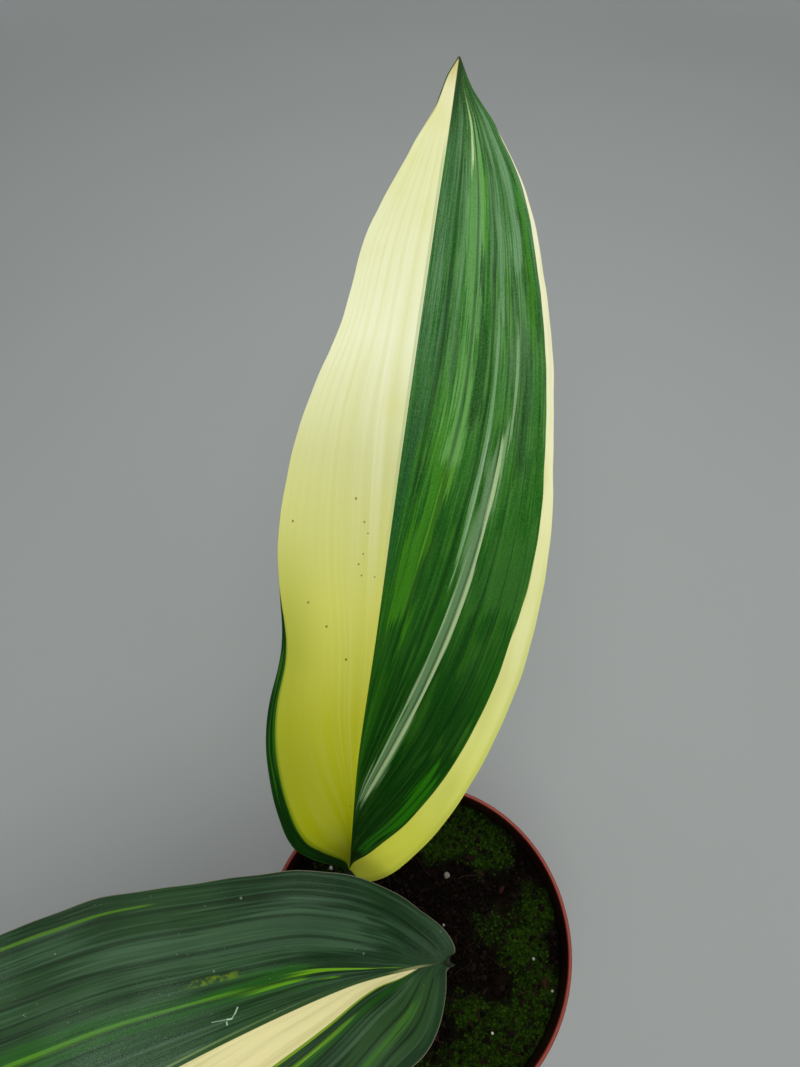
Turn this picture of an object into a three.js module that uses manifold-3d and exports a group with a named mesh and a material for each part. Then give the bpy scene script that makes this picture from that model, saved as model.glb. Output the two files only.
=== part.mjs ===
// A potted cast iron plant: two broad variegated leaves on channelled stalks, which rise from a
// creeping rhizome in a filled nursery pot. Millimetres, +Z up, origin at the centre of the pot's base.

import * as THREE from 'three';
import { mergeVertices } from 'three/addons/utils/BufferGeometryUtils.js';
import Module from 'manifold-3d';

const { degToRad, lerp, clamp } = THREE.MathUtils;
const wasm = await Module();
wasm.setup();

// Air left between pieces that touch
const GAP = 0.3;

// Pot: a tapered plastic wall with a stepped band under the rim
const POT_HEIGHT = 115;
const RIM_RADIUS = 65;
const LIP_WIDTH = 1.6;
const BAND_BOTTOM = 100;
const BAND_RADIUS = 63.6;
const SHOULDER_RADIUS = 60.2;
const BASE_RADIUS = 45;
const WALL = 1.6;
const FLOOR = 1.8;
const EDGE_EASE = 1;
const TURN_SEGMENTS = 48;
const DRAIN = { count: 8, radius: 3.5, ringRadius: 33, segments: 12 };

// Soil: fills the pot to just above the step of the band
const SOIL_TOP = 104;
const SOIL_RINGS = 8;
const SOIL_SWELLS = [
  { height: 0.7, turnsX: 0.11, startX: 0.6, turnsY: 0.09, startY: 1.2 },
  { height: 0.45, turnsX: 0.21, startX: 2.1, turnsY: 0.24, startY: 0.3 },
];

// Rhizome: a ringed stem that creeps half buried across the soil
const RHIZOME = {
  radius: 5.2,
  path: [[-38, 14, 104.5], [-22, 9, 105.5], [-8, 3, 106], [4, -3, 105.5], [11, -6, 105]],
  internode: 5.5,
  ringRise: 0.35,
  tipShare: 0.12,
  stations: 30,
  sides: 12,
};

// Stalks: a grooved section that grows wider towards the blade
const STALK = {
  halfWidth: [2.4, 2.7],
  depth: [3.6, 2.6],
  groove: [0.6, 1.6],
  edge: 0.7,
  centre: 2,
  footReach: 22,
  footSink: 2,
  stations: 18,
  points: 7,
};

// Sheath scales: thin pointed leaves that wrap the foot of each stalk
const SHEATH = {
  thickness: 0.7,
  lift: 2.4,
  stations: 9,
  points: 7,
  spread: 128,
  tipSpread: 16,
  narrowing: 1.6,
  flare: 1.6,
};
const SHEATH_RADII = { inner: 3.5, outer: 4.6 };

// Blades: thickness, the keel under the midrib, the rounding of its groove and the ribbed pleats
const BLADE = {
  thickness: 0.9,
  edgeThickness: 0.65,
  keelDepth: 2,
  keelWidth: 1.5,
  groove: 1.2,
  pleat: 0.35,
  pleatFade: 10,
  lines: 10,
  stations: 36,
  crowding: 0.5,
};

// Share of the midrib on each side of a point over which its direction is taken
const MIDRIB_STEP = 0.001;

// Each leaf is given by stations [t, value ...] along its midrib, from the stalk (0) to the tip (1):
// the midrib's place, half widths, the angle that each half folds up, the share of its width that it
// curls down, the height of its waved edge, and how far its edge sweeps back past the stalk.
// topReach is the length over which its stalk bends into the line of the midrib.
const UPRIGHT = {
  name: 'upright',
  heading: 82,
  foot: [-22, 9],
  topReach: 26,
  sheathHeights: { inner: 38, outer: 27 },
  midrib: [
    [0, -26, 24, 165], [0.08, -24, 34, 191], [0.18, -21, 54, 218], [0.3, -15, 87, 242],
    [0.45, -8, 133, 264], [0.6, -1, 182, 278], [0.75, 6, 232, 288], [0.88, 12, 276, 294],
    [1, 17, 317, 296],
  ],
  left: {
    halfWidth: [
      [0, 2.6], [0.03, 6.5], [0.06, 13.6], [0.1, 24.7], [0.16, 31.3], [0.22, 36], [0.29, 34.6],
      [0.38, 39.4], [0.48, 38.2], [0.6, 29.4], [0.7, 25.1], [0.82, 14.6], [0.9, 7.3], [0.96, 4.1], [1, 0.5],
    ],
    fold: [[0, 62], [0.1, 45], [0.25, 36], [0.5, 30], [0.8, 24], [1, 20]],
    curl: [[0, 0], [0.3, 0.12], [0.6, 0.1], [1, 0]],
    wave: [[0, 0], [0.1, 0], [0.18, 2], [0.27, -2], [0.4, 1], [0.6, -1.5], [0.72, 1], [0.85, 0], [1, 0]],
    sweep: [[0, 0], [1, 0]],
  },
  right: {
    halfWidth: [
      [0, 2.6], [0.02, 8.2], [0.06, 18], [0.12, 29.6], [0.2, 40.9], [0.3, 49.2], [0.4, 52.4],
      [0.5, 50.7], [0.6, 47.4], [0.7, 41.2], [0.8, 31.8], [0.88, 18.5], [0.94, 7.5], [1, 0.5],
    ],
    fold: [[0, 50], [0.1, 25], [0.25, 10], [0.5, 2], [0.8, 0], [1, 10]],
    curl: [[0, 0], [0.3, 0.05], [0.6, 0.1], [1, 0]],
    wave: [[0, 0], [0.2, 0], [0.35, 1], [0.5, -1], [0.65, 1], [0.8, 0], [1, 0]],
    sweep: [[0, 0], [0.02, 4], [0.06, 1.5], [0.12, 0], [1, 0]],
  },
};
const LEANING = {
  name: 'leaning',
  heading: 204,
  foot: [4, -3],
  topReach: 8,
  sheathHeights: { inner: 33, outer: 23 },
  midrib: [
    [0, 9, -7.2, 176.3], [0.06, -4, -9, 189], [0.14, -25, -14, 204], [0.25, -62, -29, 221],
    [0.4, -114, -54, 234], [0.55, -167, -79, 237], [0.7, -219, -105, 232], [0.85, -271, -130, 217],
    [1, -319, -154, 195],
  ],
  left: {
    halfWidth: [
      [0, 2.6], [0.03, 4.6], [0.06, 13.5], [0.1, 26.2], [0.14, 32], [0.2, 40], [0.3, 48],
      [0.42, 52], [0.55, 51], [0.7, 42], [0.82, 29], [0.92, 13], [1, 0.5],
    ],
    fold: [[0, 50], [0.06, 34], [0.15, 26], [0.3, 20], [0.6, 14], [1, 16]],
    curl: [[0, 0], [0.3, 0.1], [0.6, 0.12], [1, 0]],
    wave: [
      [0, 0], [0.08, 1], [0.15, -1.5], [0.24, 2], [0.36, -2], [0.5, 2], [0.64, -2], [0.78, 1.5], [1, 0],
    ],
    sweep: [[0, 0], [0.014, 2.8], [0.03, 4.8], [0.06, 5.5], [0.1, 4], [0.15, 2.5], [0.22, 0], [1, 0]],
  },
  right: {
    halfWidth: [
      [0, 2.6], [0.014, 3.7], [0.022, 6.2], [0.035, 10.9], [0.06, 18], [0.1, 27.2], [0.16, 38.1],
      [0.22, 44], [0.3, 51.1], [0.42, 54.5], [0.55, 53], [0.7, 44], [0.82, 30], [0.92, 13], [1, 0.5],
    ],
    fold: [[0, 50], [0.06, 32], [0.15, 22], [0.3, 16], [0.6, 12], [1, 16]],
    curl: [[0, 0], [0.3, 0.1], [0.6, 0.12], [1, 0]],
    wave: [
      [0, 0], [0.1, 0.5], [0.2, -1.5], [0.3, 1.5], [0.42, -2], [0.56, 2], [0.7, -1.5], [0.84, 1], [1, 0],
    ],
    sweep: [
      [0, 0], [0.008, 5.4], [0.014, 8.1], [0.022, 9.2], [0.035, 7.7], [0.06, 4.3], [0.1, 2.5], [0.16, 0],
      [1, 0],
    ],
  },
};

const MATERIALS = {
  pot: new THREE.MeshStandardMaterial({ color: 0xa04a2c, roughness: 0.55, metalness: 0 }),
  soil: new THREE.MeshStandardMaterial({ color: 0x1d1610, roughness: 1, metalness: 0 }),
  rhizome: new THREE.MeshStandardMaterial({ color: 0x8a7a4c, roughness: 0.8, metalness: 0 }),
  stalk: new THREE.MeshStandardMaterial({ color: 0x3f6a2c, roughness: 0.5, metalness: 0 }),
  sheath: new THREE.MeshStandardMaterial({ color: 0x7c6440, roughness: 0.85, metalness: 0 }),
  upright: new THREE.MeshStandardMaterial({ color: 0x86a83e, roughness: 0.4, metalness: 0 }),
  leaning: new THREE.MeshStandardMaterial({ color: 0x2c4a2c, roughness: 0.4, metalness: 0 }),
};

// The smooth value at t of stations [t, value ...], as an array
function along(stations, t) {
  const last = stations.length - 1;
  let i = 0;
  while (i < last - 1 && stations[i + 1][0] <= t) {
    i += 1;
  }
  const [from, to] = [stations[i], stations[i + 1]];
  const [before, after] = [stations[Math.max(i - 1, 0)], stations[Math.min(i + 2, last)]];
  const step = to[0] - from[0];
  const q = clamp((t - from[0]) / step, 0, 1);
  return from.slice(1).map((start, k) => {
    const end = to[k + 1];
    const slopeIn = (step * (end - before[k + 1])) / (to[0] - before[0]);
    const slopeOut = (step * (after[k + 1] - start)) / (after[0] - from[0]);
    const rise = (2 * q ** 3 - 3 * q ** 2 + 1) * start + (3 * q ** 2 - 2 * q ** 3) * end;
    return rise + (q ** 3 - 2 * q ** 2 + q) * slopeIn + (q ** 3 - q ** 2) * slopeOut;
  });
}

// A closed solid through rings of points. The first half of each ring runs one way over the top and
// the second half comes back under it, so both faces and both ends are split into like triangles.
function loft(rings) {
  const size = rings[0].length;
  const index = [];
  rings.slice(1).forEach((_, i) => {
    for (let k = 0; k < size; k += 1) {
      const next = (k + 1) % size;
      const [a, b, c, d] = [i * size + k, i * size + next, (i + 1) * size + next, (i + 1) * size + k];
      index.push(...(k < size / 2 ? [a, b, c, a, c, d] : [a, b, d, b, c, d]));
    }
  });
  const endRow = (rings.length - 1) * size;
  for (let k = 0; k < size / 2 - 1; k += 1) {
    const [a, b, c, d] = [k, k + 1, size - 2 - k, size - 1 - k];
    index.push(a, c, b, a, d, c);
    index.push(endRow + a, endRow + b, endRow + c, endRow + a, endRow + c, endRow + d);
  }
  const geometry = new THREE.BufferGeometry().setFromPoints(rings.flat());
  geometry.setIndex(index);
  geometry.computeVertexNormals();
  return geometry;
}

// A profile of [radius, height] points turned about the Z axis
function turned(profile) {
  const points = profile.map(([radius, height]) => new THREE.Vector2(radius, height));
  return new THREE.LatheGeometry(points, TURN_SEGMENTS).rotateX(Math.PI / 2);
}

function toSolid(geometry) {
  const bare = new THREE.BufferGeometry();
  bare.setAttribute('position', geometry.getAttribute('position'));
  bare.setIndex(geometry.getIndex());
  const merged = mergeVertices(bare);
  const corners = merged.getIndex().array;
  const triangles = [];
  for (let i = 0; i < corners.length; i += 3) {
    const [a, b, c] = corners.slice(i, i + 3);
    if (a !== b && b !== c && c !== a) {
      triangles.push(a, b, c);
    }
  }
  const vertProperties = Float32Array.from(merged.getAttribute('position').array);
  const triVerts = Uint32Array.from(triangles);
  return new wasm.Manifold(new wasm.Mesh({ numProp: 3, vertProperties, triVerts }));
}

function toGeometry(solid) {
  const { vertProperties, triVerts } = solid.getMesh();
  const geometry = new THREE.BufferGeometry();
  geometry.setAttribute('position', new THREE.BufferAttribute(vertProperties, 3));
  geometry.setIndex(new THREE.BufferAttribute(triVerts, 1));
  geometry.computeVertexNormals();
  return geometry;
}

function piece(name, geometry, material) {
  const mesh = new THREE.Mesh(geometry, material);
  mesh.name = name;
  return mesh;
}

// Pot
function buildPot() {
  const inside = RIM_RADIUS - LIP_WIDTH;
  const stepInside = BAND_RADIUS - WALL;
  const profile = [
    [0, 0],
    [BASE_RADIUS - EDGE_EASE, 0],
    [BASE_RADIUS, EDGE_EASE],
    [SHOULDER_RADIUS, BAND_BOTTOM - EDGE_EASE],
    [BAND_RADIUS, BAND_BOTTOM],
    [RIM_RADIUS, POT_HEIGHT - EDGE_EASE / 2],
    [RIM_RADIUS - EDGE_EASE / 2, POT_HEIGHT],
    [inside + EDGE_EASE / 2, POT_HEIGHT],
    [inside, POT_HEIGHT - EDGE_EASE / 2],
    [stepInside, BAND_BOTTOM + EDGE_EASE],
    [SHOULDER_RADIUS - WALL, BAND_BOTTOM],
    [BASE_RADIUS - WALL, FLOOR + EDGE_EASE],
    [BASE_RADIUS - WALL - EDGE_EASE, FLOOR],
    [0, FLOOR],
  ];
  let solid = toSolid(turned(profile));
  for (let i = 0; i < DRAIN.count; i += 1) {
    const angle = (i / DRAIN.count) * 2 * Math.PI;
    const hole = new THREE.CylinderGeometry(DRAIN.radius, DRAIN.radius, 4 * FLOOR, DRAIN.segments);
    hole.rotateX(Math.PI / 2);
    hole.translate(DRAIN.ringRadius * Math.cos(angle), DRAIN.ringRadius * Math.sin(angle), 0);
    solid = solid.subtract(toSolid(hole));
  }
  return piece('pot', toGeometry(solid), MATERIALS.pot);
}

// Soil
function soilRelief(x, y) {
  return SOIL_SWELLS.reduce((total, { height, turnsX, startX, turnsY, startY }) => (
    total + height * Math.sin(turnsX * x + startX) * Math.sin(turnsY * y + startY)
  ), 0);
}

function buildSoil(rhizomeHole) {
  const wallAt = (radius) => radius - WALL - GAP;
  const rimSide = lerp(BAND_RADIUS, RIM_RADIUS, (SOIL_TOP - BAND_BOTTOM) / (POT_HEIGHT - BAND_BOTTOM));
  const profile = [
    [0, FLOOR + GAP],
    [wallAt(BASE_RADIUS) - EDGE_EASE, FLOOR + GAP],
    [wallAt(BASE_RADIUS), FLOOR + EDGE_EASE + GAP],
    [wallAt(SHOULDER_RADIUS), BAND_BOTTOM + GAP / 2],
    [wallAt(BAND_RADIUS), BAND_BOTTOM + EDGE_EASE + GAP / 2],
  ];
  for (let ring = SOIL_RINGS; ring >= 0; ring -= 1) {
    profile.push([(wallAt(rimSide) * ring) / SOIL_RINGS, SOIL_TOP]);
  }
  const geometry = turned(profile);
  const position = geometry.getAttribute('position');
  for (let i = 0; i < position.count; i += 1) {
    if (position.getZ(i) > SOIL_TOP - GAP) {
      position.setZ(i, SOIL_TOP + soilRelief(position.getX(i), position.getY(i)));
    }
  }
  return piece('soil', toGeometry(toSolid(geometry).subtract(rhizomeHole)), MATERIALS.soil);
}

// Rhizome, as it is or made larger all round for the room that other pieces leave it
function rhizomeSolid(extra) {
  const path = new THREE.CatmullRomCurve3(RHIZOME.path.map((point) => new THREE.Vector3(...point)));
  const length = path.getLength() + 2 * extra;
  const rings = [];
  for (let i = 0; i <= RHIZOME.stations; i += 1) {
    const q = i / RHIZOME.stations;
    const centre = path.getPointAt(q);
    const forward = path.getTangentAt(q);
    centre.addScaledVector(forward, extra * (2 * q - 1));
    const across = new THREE.Vector3().crossVectors(forward, new THREE.Vector3(0, 0, 1)).normalize();
    const up = new THREE.Vector3().crossVectors(across, forward);
    const intoTip = Math.max(0, 1 - (Math.min(q, 1 - q) * length) / RHIZOME.radius);
    const taper = lerp(RHIZOME.tipShare, 1, Math.sqrt(1 - intoTip ** 2));
    const ringed = RHIZOME.ringRise * Math.abs(Math.sin((Math.PI * q * length) / RHIZOME.internode));
    const radius = (RHIZOME.radius - ringed) * taper + extra;
    const ring = [];
    for (let k = 0; k < RHIZOME.sides; k += 1) {
      const angle = (2 * Math.PI * k) / RHIZOME.sides;
      ring.push(centre.clone().addScaledVector(across, -radius * Math.cos(angle))
        .addScaledVector(up, radius * Math.sin(angle)));
    }
    rings.push(ring);
  }
  return toSolid(loft(rings));
}

// Axes of a section across a leaf or its stalk: across points to the leaf's right, up from its face
function sectionAxes(leaf, forward) {
  const heading = degToRad(leaf.heading);
  const right = new THREE.Vector3(Math.sin(heading), -Math.cos(heading), 0);
  const up = new THREE.Vector3().crossVectors(right, forward).normalize();
  const across = new THREE.Vector3().crossVectors(forward, up);
  return { forward, up, across };
}

function midribPoint(leaf, t) {
  return new THREE.Vector3(...along(leaf.midrib, t));
}

function midribAxes(leaf, t) {
  const ahead = midribPoint(leaf, Math.min(t + MIDRIB_STEP, 1));
  const behind = midribPoint(leaf, Math.max(t - MIDRIB_STEP, 0));
  return sectionAxes(leaf, ahead.sub(behind).normalize());
}

// Stalk: it stands on the rhizome and curves into the line of the midrib
function stalkPath(leaf) {
  const { forward } = midribAxes(leaf, 0);
  const top = midribPoint(leaf, 0).addScaledVector(forward, -GAP);
  const { up } = sectionAxes(leaf, new THREE.Vector3(0, 0, 1));
  const foot = new THREE.Vector3(...leaf.foot, SOIL_TOP + STALK.footSink).addScaledVector(up, STALK.centre);
  const rising = foot.clone().add(new THREE.Vector3(0, 0, STALK.footReach));
  const bending = top.clone().addScaledVector(forward, -leaf.topReach);
  return new THREE.CubicBezierCurve3(foot, rising, bending, top);
}

function stalkRing(leaf, path, q) {
  const { up, across } = sectionAxes(leaf, path.getTangentAt(q));
  const centre = path.getPointAt(q);
  const sizes = [STALK.halfWidth, STALK.depth, STALK.groove];
  const [halfWidth, depth, groove] = sizes.map(([atFoot, atTop]) => lerp(atFoot, atTop, q));
  const face = [];
  const back = [];
  for (let k = 0; k < STALK.points; k += 1) {
    const angle = Math.PI * (k / (STALK.points - 1) - 0.5);
    const level = Math.cos(angle);
    const point = centre.clone().addScaledVector(across, halfWidth * Math.sin(angle));
    face.push(point.clone().addScaledVector(up, -groove * level ** 2));
    back.unshift(point.addScaledVector(up, -STALK.edge - depth * level));
  }
  return [...face, ...back];
}

function buildStalk(leaf, rhizomeHole) {
  const path = stalkPath(leaf);
  const rings = [];
  for (let i = 0; i <= STALK.stations; i += 1) {
    rings.push(stalkRing(leaf, path, i / STALK.stations));
  }
  const solid = toSolid(loft(rings)).subtract(rhizomeHole);
  return piece(`petiole_${leaf.name}`, toGeometry(solid), MATERIALS.stalk);
}

// Sheath scale: a curved band about the stalk that narrows to a point. The inner one opens at the
// back of the stalk and the outer one at its face.
function sheathRing(leaf, path, layer, q) {
  const height = lerp(SHEATH.lift, leaf.sheathHeights[layer], q);
  const s = height / path.getLength();
  const { up, across } = sectionAxes(leaf, path.getTangentAt(s));
  const centre = path.getPointAt(s).addScaledVector(up, -STALK.centre);
  const radius = SHEATH_RADII[layer] + SHEATH.flare * q ** 3;
  const spread = degToRad(lerp(SHEATH.spread, SHEATH.tipSpread, q ** SHEATH.narrowing));
  const towards = layer === 'inner' ? 1 : -1;
  const inside = [];
  const outside = [];
  for (let k = 0; k < SHEATH.points; k += 1) {
    const angle = spread * ((2 * k) / (SHEATH.points - 1) - 1);
    const out = across.clone().multiplyScalar(towards * Math.sin(angle));
    out.addScaledVector(up, towards * Math.cos(angle));
    outside.push(centre.clone().addScaledVector(out, radius + SHEATH.thickness));
    inside.unshift(centre.clone().addScaledVector(out, radius));
  }
  return [...outside, ...inside];
}

function buildSheath(leaf, layer, rhizomeHole) {
  const path = stalkPath(leaf);
  const rings = [];
  for (let i = 0; i <= SHEATH.stations; i += 1) {
    rings.push(sheathRing(leaf, path, layer, i / SHEATH.stations));
  }
  const solid = toSolid(loft(rings)).subtract(rhizomeHole);
  return piece(`sheath_${layer}_${leaf.name}`, toGeometry(solid), MATERIALS.sheath);
}

// Blade: the point of its section at t on each line from the left edge (-lines) to the right (lines).
// share is how far out the line lies, from the midrib (0) to the edge (1).
function bladePoint(leaf, t, line) {
  const half = line < 0 ? leaf.left : leaf.right;
  const stations = [half.halfWidth, half.fold, half.curl, half.wave, half.sweep];
  const [halfWidth, fold, curl, wave, sweep] = stations.map((values) => along(values, t)[0]);
  const first = BLADE.keelWidth / (halfWidth + BLADE.keelWidth);
  const count = Math.abs(line);
  const share = count === 0 ? 0 : lerp(first, 1, (count - 1) / (BLADE.lines - 1));
  const x = halfWidth * share;
  const folded = (Math.hypot(x, BLADE.groove) - BLADE.groove) * Math.sin(degToRad(fold));
  const pleat = BLADE.pleat * Math.min(1, x / BLADE.pleatFade) * (count % 2 === 0 ? 1 : -1);
  return {
    share,
    across: Math.sign(line) * x * Math.cos(degToRad(fold)),
    up: folded - curl * halfWidth * share ** 2 + wave * share ** 3 + pleat,
    back: sweep * share ** 1.4,
  };
}

function bladeRing(leaf, t) {
  const { forward, up, across } = midribAxes(leaf, t);
  const midrib = midribPoint(leaf, t);
  const section = [];
  for (let line = -BLADE.lines; line <= BLADE.lines; line += 1) {
    section.push(bladePoint(leaf, t, line));
  }
  const place = (point, x, y) => midrib.clone().addScaledVector(across, x).addScaledVector(up, y)
    .addScaledVector(forward, -point.back);
  const face = [];
  const back = [];
  section.forEach((point, k) => {
    const before = section[Math.max(k - 1, 0)];
    const after = section[Math.min(k + 1, section.length - 1)];
    const [run, rise] = [after.across - before.across, after.up - before.up];
    const size = Math.hypot(run, rise);
    const [nx, ny] = [-rise / size, run / size];
    const top = lerp(BLADE.thickness, BLADE.edgeThickness, point.share) / 2;
    const under = top + (point.share === 0 ? BLADE.keelDepth * (1 - t) : 0);
    face.push(place(point, point.across + nx * top, point.up + ny * top));
    back.unshift(place(point, point.across - nx * under, point.up - ny * under));
  });
  return [...face, ...back];
}

function buildBlade(leaf) {
  const rings = [];
  for (let i = 0; i <= BLADE.stations; i += 1) {
    const q = i / BLADE.stations;
    rings.push(bladeRing(leaf, q - (BLADE.crowding * Math.sin(2 * Math.PI * q)) / (2 * Math.PI)));
  }
  return piece(`blade_${leaf.name}`, loft(rings), MATERIALS[leaf.name]);
}

const plant = new THREE.Group();
const rhizomeHole = rhizomeSolid(GAP);
plant.add(buildPot());
plant.add(buildSoil(rhizomeHole));
plant.add(piece('rhizome', toGeometry(rhizomeSolid(0)), MATERIALS.rhizome));
for (const leaf of [UPRIGHT, LEANING]) {
  plant.add(buildStalk(leaf, rhizomeHole));
  plant.add(buildSheath(leaf, 'inner', rhizomeHole));
  plant.add(buildSheath(leaf, 'outer', rhizomeHole));
  plant.add(buildBlade(leaf));
}

export default plant;
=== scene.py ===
"""A potted variegated cast iron plant: its looks, around its solids. Metres, +Z up.

Sizes are in millimetres up to the point where a mesh is made.
"""

import math

import bmesh
import bpy
import numpy as np
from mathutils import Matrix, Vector, noise


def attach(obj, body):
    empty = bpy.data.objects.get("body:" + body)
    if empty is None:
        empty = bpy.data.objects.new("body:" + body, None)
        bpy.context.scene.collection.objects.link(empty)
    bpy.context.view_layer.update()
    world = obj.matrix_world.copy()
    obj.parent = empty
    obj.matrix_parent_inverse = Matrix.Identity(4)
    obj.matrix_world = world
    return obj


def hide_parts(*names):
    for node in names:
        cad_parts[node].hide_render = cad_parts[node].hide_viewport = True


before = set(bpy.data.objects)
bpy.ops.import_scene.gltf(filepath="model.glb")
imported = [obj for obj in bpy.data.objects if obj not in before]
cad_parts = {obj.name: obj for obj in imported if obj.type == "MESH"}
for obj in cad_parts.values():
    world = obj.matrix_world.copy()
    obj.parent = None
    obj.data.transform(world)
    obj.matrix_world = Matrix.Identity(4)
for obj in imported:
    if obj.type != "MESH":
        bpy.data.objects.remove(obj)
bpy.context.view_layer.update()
MM = 0.001

# ---------------------------------------------------------------- sizes, as in the part's source

POT_HEIGHT = 115
RIM_RADIUS = 65
LIP_WIDTH = 1.6
BAND_BOTTOM = 100
BAND_RADIUS = 63.6
SHOULDER_RADIUS = 60.2
BASE_RADIUS = 45
WALL = 1.6
FLOOR = 1.8
DRAIN = {"count": 8, "radius": 3.5, "ring": 33}

SOIL_TOP = 104
SOIL_EDGE = 61.9
SOIL_SWELLS = [
    {"height": 0.7, "turns_x": 0.11, "start_x": 0.6, "turns_y": 0.09, "start_y": 1.2},
    {"height": 0.45, "turns_x": 0.21, "start_x": 2.1, "turns_y": 0.24, "start_y": 0.3},
]

RHIZOME = {
    "radius": 5.2,
    "path": [(-38, 14, 104.5), (-22, 9, 105.5), (-8, 3, 106), (4, -3, 105.5), (11, -6, 105)],
    "internode": 5.5, "ring_rise": 0.35, "tip_share": 0.12, "ring_sharpness": 0.4, "bark_sink": 0.15,
    "bark_rise": 0.25, "stations": 181, "sides": 40,
}

STALK = {
    "half_width": (2.4, 2.7), "depth": (3.6, 2.6), "groove": (0.6, 1.6), "edge": 0.7, "centre": 2,
    "foot_reach": 22, "foot_sink": 2, "into_blade": (0.72, 1), "stations": 91, "side_points": 15,
}

SHEATH = {
    "thickness": 0.7, "lift": 2.4, "spread": 128, "tip_spread": 16, "narrowing": 1.6, "flare": 1.6,
    "edge_thinning": 0.55, "tip_thinning": 0.5, "ribs": 34, "rib_rise": 0.08, "stations": 50,
    "side_points": 41,
}
SHEATH_RADII = {"inner": 3.5, "outer": 4.6}

BLADE = {
    "thickness": 0.6, "edge_thickness": 0.35, "keel_depth": 2, "keel_width": 1.5, "groove": 1.2,
    "pleats": 5.5, "edge_pleats": 3, "full_pleat_width": 45, "flat_at_midrib": 6, "flat_at_edge": 3,
    "even_rate": 0.02, "lines": 80, "stations": 280, "crowding": 0.5, "line_crowding": 1.15,
}
# Small waves of a blade's edge: turns along it, start, shift from side to side, share of its ripple
EDGE_WAVES = [(41, 0, 2, 1), (83, 1.3, 1, 0.6), (147, 0, 2.6, 0.4)]
# How a pleat's depth swells and falls: turns along and across the blade, and its least share
PLEAT_SWELL = {"along": 17, "across": 9, "least": 0.3}

# Stations [t, value ...] from the stalk (0) to the tip (1). spread is the power that turns a point's
# share of the half width into its vein: a vein leaves the midrib near the stalk and runs outwards.
UPRIGHT = {
    "name": "upright",
    "heading": 82,
    "foot": (-22, 9),
    "top_reach": 26,
    "sheath_heights": {"inner": 38, "outer": 27},
    "midrib": [
        [0, -26, 24, 165], [0.08, -24, 34, 191], [0.18, -21, 54, 218], [0.3, -15, 87, 242],
        [0.45, -8, 133, 264], [0.6, -1, 182, 278], [0.75, 6, 232, 288], [0.88, 12, 276, 294],
        [1, 17, 317, 296],
    ],
    "spread": [
        [0, 0.04], [0.05, 0.09], [0.1, 0.17], [0.2, 0.42], [0.3, 0.67], [0.43, 1], [0.55, 1.32], [0.7, 1.48],
        [0.82, 1.62], [0.9, 2.05], [1, 2.7],
    ],
    "ripple": 0.1,
    "pleats": (0.045, 0.1),
    "left": {
        "half_width": [
            [0, 2.6], [0.03, 6.5], [0.06, 13.6], [0.1, 24.7], [0.16, 31.3], [0.22, 36], [0.29, 34.6],
            [0.38, 39.4], [0.48, 38.2], [0.6, 29.4], [0.7, 25.1], [0.82, 14.6], [0.9, 7.3], [0.96, 4.1],
            [1, 0.5],
        ],
        "fold": [[0, 62], [0.1, 45], [0.25, 36], [0.5, 30], [0.8, 24], [1, 20]],
        "curl": [[0, 0], [0.3, 0.12], [0.6, 0.1], [1, 0]],
        "wave": [
            [0, 0], [0.1, 0], [0.18, 2], [0.27, -2], [0.4, 1], [0.6, -1.5], [0.72, 1], [0.85, 0], [1, 0],
        ],
        "sweep": [[0, 0], [1, 0]],
    },
    "right": {
        "half_width": [
            [0, 2.6], [0.02, 8.2], [0.06, 18], [0.12, 29.6], [0.2, 40.9], [0.3, 49.2], [0.4, 52.4],
            [0.5, 50.7], [0.6, 47.4], [0.7, 41.2], [0.8, 31.8], [0.88, 18.5], [0.94, 7.5], [1, 0.5],
        ],
        "fold": [[0, 50], [0.1, 25], [0.25, 10], [0.5, 2], [0.8, 0], [1, 10]],
        "curl": [[0, 0], [0.3, 0.05], [0.6, 0.1], [1, 0]],
        "wave": [[0, 0], [0.2, 0], [0.35, 1], [0.5, -1], [0.65, 1], [0.8, 0], [1, 0]],
        "sweep": [[0, 0], [0.02, 4], [0.06, 1.5], [0.12, 0], [1, 0]],
    },
}
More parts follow.
